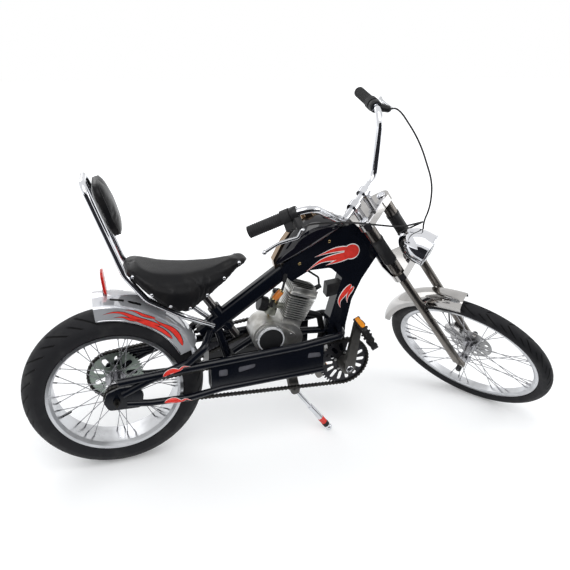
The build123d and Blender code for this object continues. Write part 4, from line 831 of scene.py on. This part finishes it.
for side, tilt, body in ((-1, math.radians(62), "pedal_right"), (1, 0.0, "pedal_left")):
    middle = np.array([BRACKET_AT[0] - side * CRANK_REACH * math.sin(CRANK_TILT), side * PEDAL_OUT,
                       BRACKET_AT[1] - side * CRANK_REACH * math.cos(CRANK_TILT)])
    length_way = np.array([math.cos(tilt), 0, -math.sin(tilt)])
    height_way = np.array([math.sin(tilt), 0, math.cos(tilt)])
    pedal_axes = np.stack([length_way, ACROSS, height_way])
    rib_block = slab(RIB_HALF, CAGE_HALF[1] - 1, CAGE_LOW, RIB_CORNER)
    ribs = [rib_block + (end * RIB_AT, 0, 0) for end in (-1, 1)]
    barrel_end = CAGE_HALF[1] - 0.5
    barrel, _, _ = lathe([(-barrel_end, BARREL_BORE), (-barrel_end, BARREL_OUT), (barrel_end, BARREL_OUT),
                          (barrel_end, BARREL_BORE)], on_bike(middle), bike_left)
    cage_grids = [(on_bike(middle + cage() @ pedal_axes), True, True), (barrel, True, True)]
    cage_grids += [(on_bike(middle + rib @ pedal_axes), False, True) for rib in ribs]
    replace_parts(piece(f"{body}_cage", cage_grids, black_plastic, body, crease=30), body)
    lens_grids = []
    for end in (-1, 1):
        block = slab(*LENS_HALF, LENS_CORNER)
        laid = (middle + length_way * (end * LENS_OUT) + block[..., :1] * ACROSS
                + block[..., 1:2] * height_way + block[..., 2:] * length_way)
        lens_grids.append((on_bike(laid), False, True))
    piece(f"{body}_lenses", lens_grids, amber_lens, body, crease=30)

# Side stand: a bare grey two-cheek bracket under the frame, and a chromed leg with a red band above its
# black rubber foot.
dress(crank_grey, "stand_bracket")
dress(chrome, "stand_leg")
STAND_PIVOT, STAND_RAKE, STAND_SPLAY = np.array([603, -38, 190.0]), math.radians(36.7), math.radians(7.9)
stand_run = np.array([math.sin(STAND_RAKE) * math.cos(STAND_SPLAY), -math.sin(STAND_SPLAY),
                      -math.cos(STAND_RAKE) * math.cos(STAND_SPLAY)])
BAND_PROFILE = [(166, 10.8), (166.5, 11.8), (191.5, 11.8), (192, 10.8)]
FOOT_PROFILE = [(192, 10.8), (192.5, 12.6), (198, 12.6), (200, 11.6), (206, 12.2), (209, 10.8)]
stand_band, stand_boot = (lathe(profile, on_bike(STAND_PIVOT), stand_run @ BIKE)
                          for profile in (BAND_PROFILE, FOOT_PROFILE))
piece("stand_band", [stand_band], flame_red, "stand")
piece("stand_boot", [stand_boot], black_rubber, "stand")

# Rear axle, brake and fender: chromed steel channel with rolled edges, two black slots in its crown and
# red flames edged in black along its sides. A red prism reflector stands on its tail.
fender_plate = metal("fender_plate", CHROME_COLOUR, 0.03, 0.12, 18.0, 0.015, Metallic=0.6)
dress(fender_plate, "rear_fender")
dress(chain_steel, "rear_axle")
dress(steel, "rear_brake")
FENDER_AT, FENDER_OUTER, FENDER_HALF, FENDER_EDGE, CROWN_SHARE = (-20, 314), 311.0, 61.0, 247.0, 0.35
fender_rise = FENDER_HALF * CROWN_SHARE
fender_bend = (FENDER_HALF ** 2 + fender_rise ** 2) / (2 * fender_rise)


def lay_crown(flat, height):
    """Lays (angle times radius, left) points on the rear fender's rounded crown."""
    turn = flat[..., 0] / FENDER_OUTER
    reach = FENDER_OUTER - fender_bend + np.sqrt(fender_bend ** 2 - flat[..., 1] ** 2) + height
    return on_bike(np.stack([FENDER_AT[0] + reach * np.cos(turn), flat[..., 1],
                             FENDER_AT[1] + reach * np.sin(turn)], -1))


def lay_skirt(side):
    """Lays (angle times radius, radius) points on the rear fender's flat side."""
    def lay(flat, height):
        turn = flat[..., 0] / FENDER_OUTER
        return on_bike(np.stack([FENDER_AT[0] + flat[..., 1] * np.cos(turn), side * (FENDER_HALF + height),
                                 FENDER_AT[1] + flat[..., 1] * np.sin(turn)], -1))
    return lay


def tube(path, radius, sides=10, loop=False):
    """Round bead of millimetre radius along points already where they stand, closed at both ends."""
    run = np.gradient(path, axis=0)
    if loop:
        run = np.roll(path, -1, 0) - np.roll(path, 1, 0)
    run /= np.linalg.norm(run, axis=1, keepdims=True)
    out = np.cross(run, np.cross(run.mean(0) + (0.31, 0.17, 0.23), (0.3, 0.9, 0.2)))
    out /= np.linalg.norm(out, axis=1, keepdims=True)
    turn = np.linspace(0, 2 * math.pi, sides, endpoint=False)[None, :, None]
    ring = np.cos(turn) * out[:, None] + np.sin(turn) * np.cross(run, out)[:, None]
    thick = np.full(len(path), radius / 1000)
    if not loop:
        thick[[0, -1]] = 0
    return path[:, None] + thick[:, None, None] * ring, loop, True


SLOT_HALF, SLOT_LIFT = 4.2, 0.35
slot_half = SLOT_HALF * (1 - np.linspace(-1, 1, 33) ** 10).clip(0) ** 0.5
SLOTS = [[(84.6, -34), (80, -36), (76.6, -37)], [(74.6, -38), (70, -40), (66.6, -41)]]
slot_grids = []
for side in (1, -1):
    for slot in SLOTS:
        spine = [(math.radians(turn) * FENDER_OUTER, side * left) for turn, left in slot]
        slot_grids.append(ribbon(spine, slot_half, lay_crown, SLOT_LIFT))
piece("fender_slots", slot_grids, flame_black, "frame")
FENDER_FLAMES = [
    ([(89, 268), (78, 275), (66, 262), (50, 270)], 7),
    ([(70, 256), (60, 254), (50, 259), (37, 258)], 6),
    ([(58, 281), (50, 276), (41, 280), (28, 268)], 8),
    ([(82, 257), (76, 260), (70, 256), (62, 264)], 4),
    ([(76, 284), (70, 286), (64, 280), (56, 284)], 4),
]
SKIRT_EDGE_WIDTH = 1.8
for side, hand in ((-1, "right"), (1, "left")):
    skirt = lay_skirt(side)
    spines = [([(math.radians(turn) * FENDER_OUTER, away) for turn, away in spine], width)
              for spine, width in FENDER_FLAMES]
    edges = [ribbon(spine, tongue(width, SKIRT_EDGE_WIDTH), skirt, EDGE_LIFT) for spine, width in spines]
    fills = [ribbon(spine, tongue(width), skirt, RED_LIFT) for spine, width in spines]
    piece(f"fender_flame_edge_{hand}", edges, flame_black, "frame")
    piece(f"fender_flame_{hand}", fills, flame_red, "frame")
BEAD_RADIUS, BEAD_INSET, BEAD_SPAN = 2.6, 1.2, (22.2, 93.8)
edge_turn = np.radians(np.linspace(*BEAD_SPAN, 60))
fender_beads = []
for side in (-1, 1):
    bead = np.stack([FENDER_AT[0] + FENDER_EDGE * np.cos(edge_turn),
                     edge_turn * 0 + side * (FENDER_HALF - BEAD_INSET),
                     FENDER_AT[1] + FENDER_EDGE * np.sin(edge_turn)], -1)
    fender_beads.append(tube(on_bike(bead), BEAD_RADIUS))
piece("fender_beads", fender_beads, chrome, "frame")
red_lens, shader, place = finish("red_lens", (0.62, 0.012, 0.012), 0.14, Specular_IOR_Level=0.6)
prism = place.add("TexVoronoi", {"Vector": place, "Scale": 170.0, "Randomness": 0.0}, distance="CHEBYCHEV")
feed(shader, Roughness=place.noise(40.0) * 0.15 + 0.06,
     Base_Color=prism.ramp(0.1, 0.6).mix((0.80, 0.03, 0.02, 1), (0.32, 0.004, 0.006, 1)),
     Normal=bump(place, prism, 0.5, 0.0012))
REFLECTOR_AT, REFLECTOR_LEAN = np.array([-4, 0, 663.0]), math.radians(5)
lean_up = np.array([-math.sin(REFLECTOR_LEAN), 0, math.cos(REFLECTOR_LEAN)])
lean_back = np.array([-math.cos(REFLECTOR_LEAN), 0, -math.sin(REFLECTOR_LEAN)])


def reflector(half_wide, half_tall, half_thick, back):
    """Rounded plate across the bike, leaning to the rear, set back by a distance."""
    block = slab(half_wide, half_tall, half_thick, 0.55)
    return on_bike(REFLECTOR_AT + block[..., :1] * ACROSS + block[..., 1:2] * lean_up
                   + (block[..., 2:] + back) * lean_back), False, True


prism_plate = reflector(half_wide=30, half_tall=37, half_thick=2.6, back=2.4)
lens_plate = piece("reflector_lens", [prism_plate], red_lens, "frame", crease=30)
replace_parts(lens_plate, "rear_reflector")
shell_plate = reflector(half_wide=31, half_tall=38, half_thick=2.2, back=-2.2)
piece("reflector_shell", [shell_plate], flame_red, "frame", crease=30)
POST_AT, POST_PROFILE = (-4, 0, 622), [(-4, 0), (-4, 6), (14, 6), (16, 4), (16, 0)]
reflector_foot = lathe(POST_PROFILE, on_bike(POST_AT), bike_up)
piece("reflector_foot", [reflector_foot], black_plastic, "frame")

# Saddle: sprung foam on a steel pan under smooth black leather, edged with a rolled bead and a row of
# bright studs round its skirt, on a dark chromed post.
dark_chrome = metal("dark_chrome", (0.24, 0.23, 0.225), 0.12, 0.28, 22.0, 0.04)
dress(dark_chrome, "seat_post")
leather, shader, place = finish("black_leather", (0.007, 0.007, 0.008), 0.34, Specular_IOR_Level=0.15)
pebble = place.add("TexVoronoi", {"Vector": place, "Scale": 620.0})
worn = place.noise(12.0, 6.0).ramp(0.45, 0.8)
feed(shader, Roughness=place.noise(26.0, 5.0) * 0.22 + 0.22,
     Base_Color=worn.mix((0.006, 0.006, 0.007, 1), (0.014, 0.013, 0.013, 1)),
     Normal=bump(place, pebble, 0.22, 0.0006))
SEAT_LINE = [52, 62, 88, 112, 150, 190, 230, 270, 320, 365, 405, 428, 440]
SEAT_HALF = [10, 42, 84, 103, 111, 110, 103, 91, 75, 58, 43, 30, 9]
SEAT_TOP = [716, 722, 723, 712, 698, 690, 686, 686, 690, 700, 713, 714, 706]
SEAT_FOOT = [706, 700, 678, 652, 616, 588, 574, 586, 617, 651, 684, 693, 697]
SEAT_SHRINK = 3.5


def seat_form(rows, across):
    """Closed saddle as a grid along the bike by round its section. Over the top the section is
    left = half (1 - (1 - t)^2.4) and up = foot + rise (1 - t^3.2)^0.75; below it is a shallow hollow."""
    share = 0.5 - 0.5 * np.cos(np.linspace(0, math.pi, rows))
    forward = SEAT_LINE[0] + (SEAT_LINE[-1] - SEAT_LINE[0]) * share
    half, top, foot = (smooth_through(SEAT_LINE, values, forward) - cut for values, cut in
                       ((SEAT_HALF, SEAT_SHRINK), (SEAT_TOP, SEAT_SHRINK), (SEAT_FOOT, -SEAT_SHRINK)))
    t = np.linspace(-1, 1, across)
    left = np.sign(t) * (1 - (1 - np.abs(t)) ** 2.4)
    over = (1 - np.abs(t) ** 3.2) ** 0.75
    under = np.linspace(1, -1, across // 2)[1:-1]
    rise = (top - foot)[:, None]
    hollow = 0.42 * np.clip((rise - 30) / 60, 0, 1)
    side = np.concatenate([half[:, None] * left, half[:, None] * under * 0.96], 1)
    height = foot[:, None] + rise * np.concatenate([over + 0 * rise, hollow * (1 - under ** 2)], 1)
    grid = np.stack([np.broadcast_to(forward[:, None], side.shape), side, height], -1)
    ends = grid[[0, -1]].mean(1, keepdims=True) * np.ones((1, side.shape[1], 1))
    return np.concatenate([ends[:1], grid, ends[1:]])


FOAM_VOXEL, FOAM_CAP, FOAM_PRESSURE, FOAM_FRAMES = 0.005, 0.006, 4.0, 20


def stuff(made):
    """Swells a closed pad: even remesh, some frames of cloth under pressure with no gravity, each point
    moved no further than the cap, then one subdivision."""
    scene = bpy.context.scene
    even = made.modifiers.new("even", "REMESH")
    even.mode = "VOXEL"
    even.voxel_size = FOAM_VOXEL
    bpy.context.view_layer.update()
    mesh = bpy.data.meshes.new_from_object(made.evaluated_get(bpy.context.evaluated_depsgraph_get()))
    made.modifiers.clear()
    mesh.name = made.name
    made.data = mesh
    rest = np.empty(len(mesh.vertices) * 3)
    mesh.vertices.foreach_get("co", rest)
    cloth = made.modifiers.new("cloth", "CLOTH")
    cloth.settings.use_pressure = True
    cloth.settings.uniform_pressure_force = FOAM_PRESSURE
    cloth.settings.effector_weights.gravity = 0
    cloth.point_cache.frame_start, cloth.point_cache.frame_end = 1, FOAM_FRAMES
    for step in range(1, FOAM_FRAMES + 1):
        scene.frame_set(step)
    swollen = made.evaluated_get(bpy.context.evaluated_depsgraph_get()).to_mesh()
    moved = np.empty_like(rest)
    swollen.vertices.foreach_get("co", moved)
    made.modifiers.clear()
    move = (moved - rest).reshape(-1, 3)
    far = np.linalg.norm(move, axis=1, keepdims=True).clip(1e-9)
    kept = rest.reshape(-1, 3) + move * np.minimum(1, FOAM_CAP / far)
    mesh.vertices.foreach_set("co", kept.ravel())
    scene.frame_set(1)
    finer = made.modifiers.new("finer", "SUBSURF")
    finer.levels = finer.render_levels = 1
    made.data.shade_smooth()
    bpy.context.view_layer.update()


seat_pad = piece("seat_pad", [(on_bike(seat_form(56, 44)), False, True)], leather, "frame")
stuff(seat_pad)
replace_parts(seat_pad, "seat")


def on_pad(pad, point):
    """Nearest place on a finished pad, and the surface's outward direction there."""
    found, at, normal, _ = pad.closest_point_on_mesh(Vector(point))
    assert found, pad.name
    return np.array(at), np.array(normal)


SEAM_SPAN, SEAM_RISE, SEAM_RADIUS = (60, 430), 2, 2.4
seam_line = np.linspace(*SEAM_SPAN, 70)
seam_half = smooth_through(SEAT_LINE, SEAT_HALF, seam_line)
seam_height = smooth_through(SEAT_LINE, SEAT_FOOT, seam_line) + SEAM_RISE
seat_beads = []
for side in (-1, 1):
    edge_points = on_bike(np.stack([seam_line, side * seam_half, seam_height], -1))
    rolled = np.array([on_pad(seat_pad, point)[0] for point in edge_points])
    seat_beads.append(tube(rolled, SEAM_RADIUS))
piece("seat_bead", seat_beads, leather, "frame")
STUD_LINE = np.array([80, 128, 182, 242, 300, 358, 408])
STUD_RISE = 14
stud_height = smooth_through(SEAT_LINE, SEAT_FOOT, STUD_LINE) + STUD_RISE
stud_grids = []
for side in (-1, 1):
    for forward, height in zip(STUD_LINE, stud_height):
        half = np.interp(forward, SEAT_LINE, SEAT_HALF)
        at, out = on_pad(seat_pad, on_bike((forward, side * half, height)))
        stud_grids.append(lathe(dome(radius=6.2, height=3.6), at, out, 16))
piece("seat_studs", stud_grids, chrome, "frame")

# Sissy bar and backrest: bent chromed bar from the frame behind the saddle, carrying a foam pad in the
# same leather, with piping sewn round its front and back edges.
dress(chrome, "sissy_bar")
PAD_AT, PAD_TILT, PAD_HALF = np.array([28, 0, 902.0]), math.radians(18), (20.0, 80.0, 84.0)
pad_ahead = np.array([math.cos(PAD_TILT), 0, math.sin(PAD_TILT)])
pad_up = np.array([-math.sin(PAD_TILT), 0, math.cos(PAD_TILT)])


def on_pad_axes(ahead, left, up):
    """Backrest's own (ahead, left, up) carried onto the bike."""
    return on_bike(PAD_AT + ahead[..., None] * pad_ahead + left[..., None] * ACROSS + up[..., None] * pad_up)


pad_turn = np.linspace(0, 2 * math.pi, 96, endpoint=False)
PAD_CORNER = 0.52
pad_left = PAD_HALF[1] * np.sign(np.cos(pad_turn)) * np.abs(np.cos(pad_turn)) ** PAD_CORNER
pad_rise = PAD_HALF[2] * np.sign(np.sin(pad_turn)) * np.abs(np.sin(pad_turn)) ** PAD_CORNER
pad_share = np.sin(np.linspace(0, math.pi / 2, 14))
pad_share = np.concatenate([pad_share, pad_share[::-1]])[:, None]
pad_side = np.repeat([1, -1], 14)[:, None]
pad_thick = PAD_HALF[0] * pad_side * (1 - pad_share ** 6) ** 0.5
pad_grid = on_pad_axes(pad_thick + 0 * pad_turn, pad_share * pad_left, pad_share * pad_rise)
back_pad = piece("back_pad", [(pad_grid, False, True)], leather, "frame")
stuff(back_pad)
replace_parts(back_pad, "backrest")
PIPING_AHEAD, PIPING_REACH, PIPING_RADIUS = 13.0, 1.06, 2.2
piping = []
for way in (-1, 1):
    seam = on_pad_axes(pad_turn * 0 + way * PIPING_AHEAD, pad_left * PIPING_REACH, pad_rise * PIPING_REACH)
    sewn = np.array([on_pad(back_pad, point)[0] for point in seam])
    piping.append(tube(sewn, PIPING_RADIUS, loop=True))
piece("back_piping", piping, leather, "frame")

# Fork: dark satin steel legs with black boots between two chromed clamp plates, cap nuts on the legs
# and stem, a chromed front fender with rolled edges, and a steel caliper over the drilled disc.
leg_steel = metal("leg_steel", (0.20, 0.185, 0.17), 0.2, 0.36, 22.0, 0.05)
# The front fender, clamps and axle take the chrome with a darker colour: painted shade standing in for darker
# reflections.
shade_dimmed_chrome = metal("shade_dimmed_chrome", (0.46, 0.45, 0.44), 0.03, 0.12, 18.0, 0.02)
dress(leg_steel, "fork_legs")
dress(black_plastic, "fork_sleeves")
dress(shade_dimmed_chrome, "fork_upper_clamp", "fork_lower_clamp", "front_axle")
dress(steel, "front_caliper")
LEG_TOP, LEG_OUT, LEG_LEAD, STEM_TOP, NUT_TOP = 247, 59, 88, 244.2, 256
TUBE_SPANS, SLEEVE_OUT, SLEEVE_IN = ((15, 66), (166, 219)), 20.2, 15
BOOT_SPAN, BOOT_LIP = (64, 168), [(0, 19), (1, 22), (10, 22.6), (12, 21.4)]
AXLE_REACH, AXLE_CAP = 84, [(-12, 0), (-12, 10), (2, 10), (5, 8), (5, 0)]
STEM_NUT = [(0, 15), (0, 20), (9, 20), (11, 18), (11, 15)]
boot_profile = [(BOOT_SPAN[0] + along, radius) for along, radius in BOOT_LIP]
boot_profile += [(BOOT_SPAN[1] - along, radius) for along, radius in BOOT_LIP[::-1]]
tube_grids, boot_grids, axle_caps, cap_grids = [], [], [], []
for side in (-1, 1):
    leg_foot = on_fork((0, side * LEG_OUT, LEG_LEAD))
    for low_end, high_end in TUBE_SPANS:
        tube_profile = [(low_end, SLEEVE_IN), (low_end, SLEEVE_OUT),
                        (high_end, SLEEVE_OUT), (high_end, SLEEVE_IN)]
        tube_grids.append(lathe(tube_profile, leg_foot, fork_up, 40))
    boot_grids.append(lathe(boot_profile, leg_foot, fork_up, 40))
    axle_caps.append(lathe(AXLE_CAP, front_hub + side * fork_left * AXLE_REACH / 1000, side * fork_left))
    leg_cap = dome(radius=15.2, height=6.0, below=3.0)
    cap_grids.append(lathe(leg_cap, on_fork((LEG_TOP, side * LEG_OUT, LEG_LEAD)), fork_up))
stem_cap = dome(radius=15.4, height=6.0, below=3.0)
cap_grids.append(lathe(STEM_NUT, on_fork((STEM_TOP, 0, 0)), fork_up, 6))
cap_grids.append(lathe(stem_cap, on_fork((NUT_TOP, 0, 0)), fork_up))
piece("fork_tubes", tube_grids, leg_steel, "fork")
piece("fork_boots", boot_grids, black_plastic, "fork")
piece("front_axle_caps", axle_caps, black_plastic, "fork")
piece("fork_caps", cap_grids, chrome, "fork", crease=30)
FRONT_WHEEL = np.stack([math.cos(RAKE) * fork_ahead - math.sin(RAKE) * fork_up, fork_left,
                        math.sin(RAKE) * fork_ahead + math.cos(RAKE) * fork_up])
GUARD_RADIUS, GUARD_HALF, GUARD_DEPTH, GUARD_WALL, GUARD_SPAN = 336.0, 36.0, 30.0, 2.4, (104, 178)
GUARD_BOLT_DOWN, GUARD_BOLT_SPAN, GUARD_BOLT_RADIUS = -183, (35, 58), 7
guard_rise = GUARD_HALF * CROWN_SHARE
guard_bend = (GUARD_HALF ** 2 + guard_rise ** 2) / (2 * guard_rise)


def channel(inset, rows):
    """One face of the fender: a crown arc with straight skirts, turned about the wheel's axle."""
    half = GUARD_HALF - inset
    left = half * np.sin(np.linspace(-math.pi / 2, math.pi / 2, 25))
    crown_line = GUARD_RADIUS - inset - guard_bend + np.sqrt(guard_bend ** 2 - left ** 2)
    skirt = np.linspace(GUARD_RADIUS - GUARD_DEPTH, crown_line[0], 4)[:-1]
    left = np.concatenate([np.full(3, -half), left, np.full(3, half)])
    away = np.concatenate([skirt, crown_line, skirt[::-1]])
    turn = np.radians(np.linspace(*GUARD_SPAN, rows))[:, None]
    return np.stack([away * np.cos(turn), left + 0 * turn, away * np.sin(turn)], -1)


guard_faces = np.concatenate([channel(0, 48), channel(GUARD_WALL, 48)[:, ::-1]], 1)
guard_ends = [np.stack([channel(0, 48)[row], channel(GUARD_WALL, 48)[row]]) for row in (0, -1)]
guard_grids = [(on_wheel(guard_faces, front_hub, FRONT_WHEEL), False, True)]
guard_grids += [(on_wheel(end, front_hub, FRONT_WHEEL), False, False) for end in guard_ends]
guard_turn = np.radians(np.linspace(GUARD_SPAN[0] + 0.2, GUARD_SPAN[1] - 0.2, 60))
for side in (-1, 1):
    edge_away = GUARD_RADIUS - GUARD_DEPTH
    bead = np.stack([edge_away * np.cos(guard_turn), guard_turn * 0 + side * (GUARD_HALF - BEAD_INSET),
                     edge_away * np.sin(guard_turn)], -1)
    guard_grids.append(tube(on_wheel(bead, front_hub, FRONT_WHEEL), BEAD_RADIUS))
    bolt_low, bolt_high = (on_fork([(GUARD_BOLT_DOWN, side * left, LEG_LEAD)]) for left in GUARD_BOLT_SPAN)
    guard_grids += rods(bolt_low, bolt_high, GUARD_BOLT_RADIUS, 20)
guard = piece("front_guard", guard_grids, shade_dimmed_chrome, "fork")
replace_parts(guard, "front_fender")

# Front wheel: a tall narrow tyre with hooked grooves on a satin alloy rim, laced like the rear one with
# thirty-six bright spokes, and a drilled steel disc bolted to its hub.
dress(satin_rim, "front_rim")
dress(bright_wire, "front_hub")
dress(steel, "front_disc")
front_tread, front_groove_shade = tyre(radius=306, round_crown=27, lip=262.2, bead=12.8, pitches=50, sweep=1.5,
                                 depth=2.4, reach=(6, 58))
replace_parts(piece("front_tread", [(on_wheel(front_tread, front_hub, FRONT_WHEEL), True, True)], tyre_rubber,
                  "front_wheel", crease=30, shade=front_groove_shade), "front_tyre")
front_pegs = nipples(flange_y=28, flange_radius=26, floor=245, rim_y=4, length=15)
fit_rim("front", front_hub, FRONT_WHEEL, front_pegs, peg_radius=2.4, valve_reach=246)

# Bars: one chromed tube bent high, in two clamps on risers, with ribbed rubber grips, chromed levers in
# black perches and black cables down to the brake and the lamp.
dress(chrome, "handlebar", "bar_risers", "bar_levers")
dress(black_rubber, "bar_grips", "brake_cable", "lamp_cable")
GRIP_END, GRIP_CORNER, GRIP_RIBS = np.array([476, 335, -25.0]), np.array([452, 217, 121.0]), 17
GRIP_RUN, GRIP_RADIUS, RIB_RISE = (-5, 99), 17.2, 1.2
CLAMP_PROFILE = [(126, 15), (126, 19), (129, 20.4), (146, 20.4), (149.6, 18), (149.6, 15)]
LEVER_DROP, PERCH_AT = math.radians(48), 138
PERCH_PROFILE = [(12, 0), (12, 13), (22, 13.5), (40, 12), (48, 11.4), (51, 10), (51, 0)]
grip_share = np.linspace(0, 1, GRIP_RIBS * 6 + 1)
grip_wave = np.clip(1.6 * np.cos(2 * math.pi * GRIP_RIBS * grip_share) + 0.2, 0, 1)
grip_line = np.stack([np.interp(grip_share, (0, 1), GRIP_RUN), GRIP_RADIUS + RIB_RISE * grip_wave], -1)
grip_profile = [(-7, 0), (-7, 12), (-5.4, 16.6), *grip_line.tolist(), (99.4, 15)]
grip_grids, clamp_grids, perch_grids = [], [], []
for side in (-1, 1):
    end, corner = GRIP_END * (1, side, 1), GRIP_CORNER * (1, side, 1)
    inward = (corner - end) / np.linalg.norm(corner - end)
    grip_grids.append(lathe(grip_profile, on_fork(end), inward @ FORK, 32))
    clamp_grids.append(lathe(CLAMP_PROFILE, on_fork(end), inward @ FORK, 32))
    level = np.cross(-inward @ FORK, fork_up) * side
    lever_way = level / np.linalg.norm(level) * math.cos(LEVER_DROP) - fork_up * math.sin(LEVER_DROP)
    perch_grids.append(lathe(PERCH_PROFILE, on_fork(end + inward * PERCH_AT), lever_way, 8))
piece("lever_clamps", clamp_grids, black_plastic, "fork")
piece("lever_perches", perch_grids, black_plastic, "fork", crease=30)
piece("grip_ribs", grip_grids, black_rubber, "fork", crease=60)

# Headlight: a chromed bullet shell on a bent stalk from the lower clamp, with a bright rim round a
# domed, fluted glass over a polished bowl.
glass, shader, place = finish("lamp_glass", (0.92, 0.94, 0.96), 0.05, Transmission_Weight=0.75, IOR=1.45)
flutes = place.add("TexWave", {"Vector": place, "Scale": 60.0, "Distortion": 0.0})
feed(shader, Roughness=place.noise(20.0) * 0.06 + 0.03, Normal=bump(place, flutes, 0.3, 0.0008))
LAMP_AT, LAMP_DIP = (77, 0, 172), math.radians(8)
LAMP_RADIUS, LAMP_TAIL, LAMP_SHOULDER, LAMP_FRONT = 55.0, -65.4, 16.0, 40.0
BOWL_DEEP, BOWL_INSET, LENS_BULGE, LENS_INSET, RIM_WIRE, STALK_RADIUS = 30, 3, 9, 3.2, 3.4, 8
STALK_KNOTS, STALK_POINTS = [0, 0.35, 1], [(14.2, 0, 96), (38, 0, 102), LAMP_AT]
lamp_forward = math.cos(LAMP_DIP) * FRONT_WHEEL[0] - math.sin(LAMP_DIP) * FRONT_WHEEL[2]
tail_share = np.sin(np.linspace(math.pi / 2, 0, 26))
bullet = np.stack([LAMP_SHOULDER + (LAMP_TAIL - LAMP_SHOULDER) * tail_share,
                   LAMP_RADIUS * (1 - tail_share ** 2.1) ** 0.55], -1).tolist()
bowl_share = np.linspace(1, 0, 12)
bowl = np.stack([LAMP_FRONT - BOWL_DEEP * (1 - bowl_share ** 2),
                 (LAMP_RADIUS - BOWL_INSET) * bowl_share], -1).tolist()
stalk = smooth_through(STALK_KNOTS, STALK_POINTS, np.linspace(0, 1, 20))
shell_grids = [lathe([*bullet, (LAMP_FRONT, LAMP_RADIUS), *bowl], on_fork(LAMP_AT), lamp_forward, 64),
               tube(on_fork(stalk), STALK_RADIUS, 20)]
shell = piece("lamp_shell", shell_grids, chrome, "fork")
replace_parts(shell, "headlight")
bulge = np.linspace(0, 1, 12)
glass_radius = LAMP_RADIUS - LENS_INSET
dome_line = np.stack([LAMP_FRONT + LENS_BULGE * (1 - (1 - bulge) ** 2), glass_radius * (1 - bulge)], -1)
glass_profile = [(LAMP_FRONT - 2, 0), (LAMP_FRONT - 2, glass_radius), *dome_line.tolist()]
glass_grid = lathe(glass_profile, on_fork(LAMP_AT), lamp_forward, 48)
lamp_lens = piece("lamp_lens", [glass_grid], glass, "fork")
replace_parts(lamp_lens, "headlight_lens")
rim_turn = np.linspace(0, 2 * math.pi, 16, endpoint=False)
rim_profile = np.stack([LAMP_FRONT + RIM_WIRE * np.sin(rim_turn),
                        LAMP_RADIUS - 1 + RIM_WIRE * np.cos(rim_turn)], -1)
rim_grid, _, _ = lathe(rim_profile.tolist(), on_fork(LAMP_AT), lamp_forward, 64)
piece("lamp_rim", [(rim_grid, True, True)], chrome, "fork")
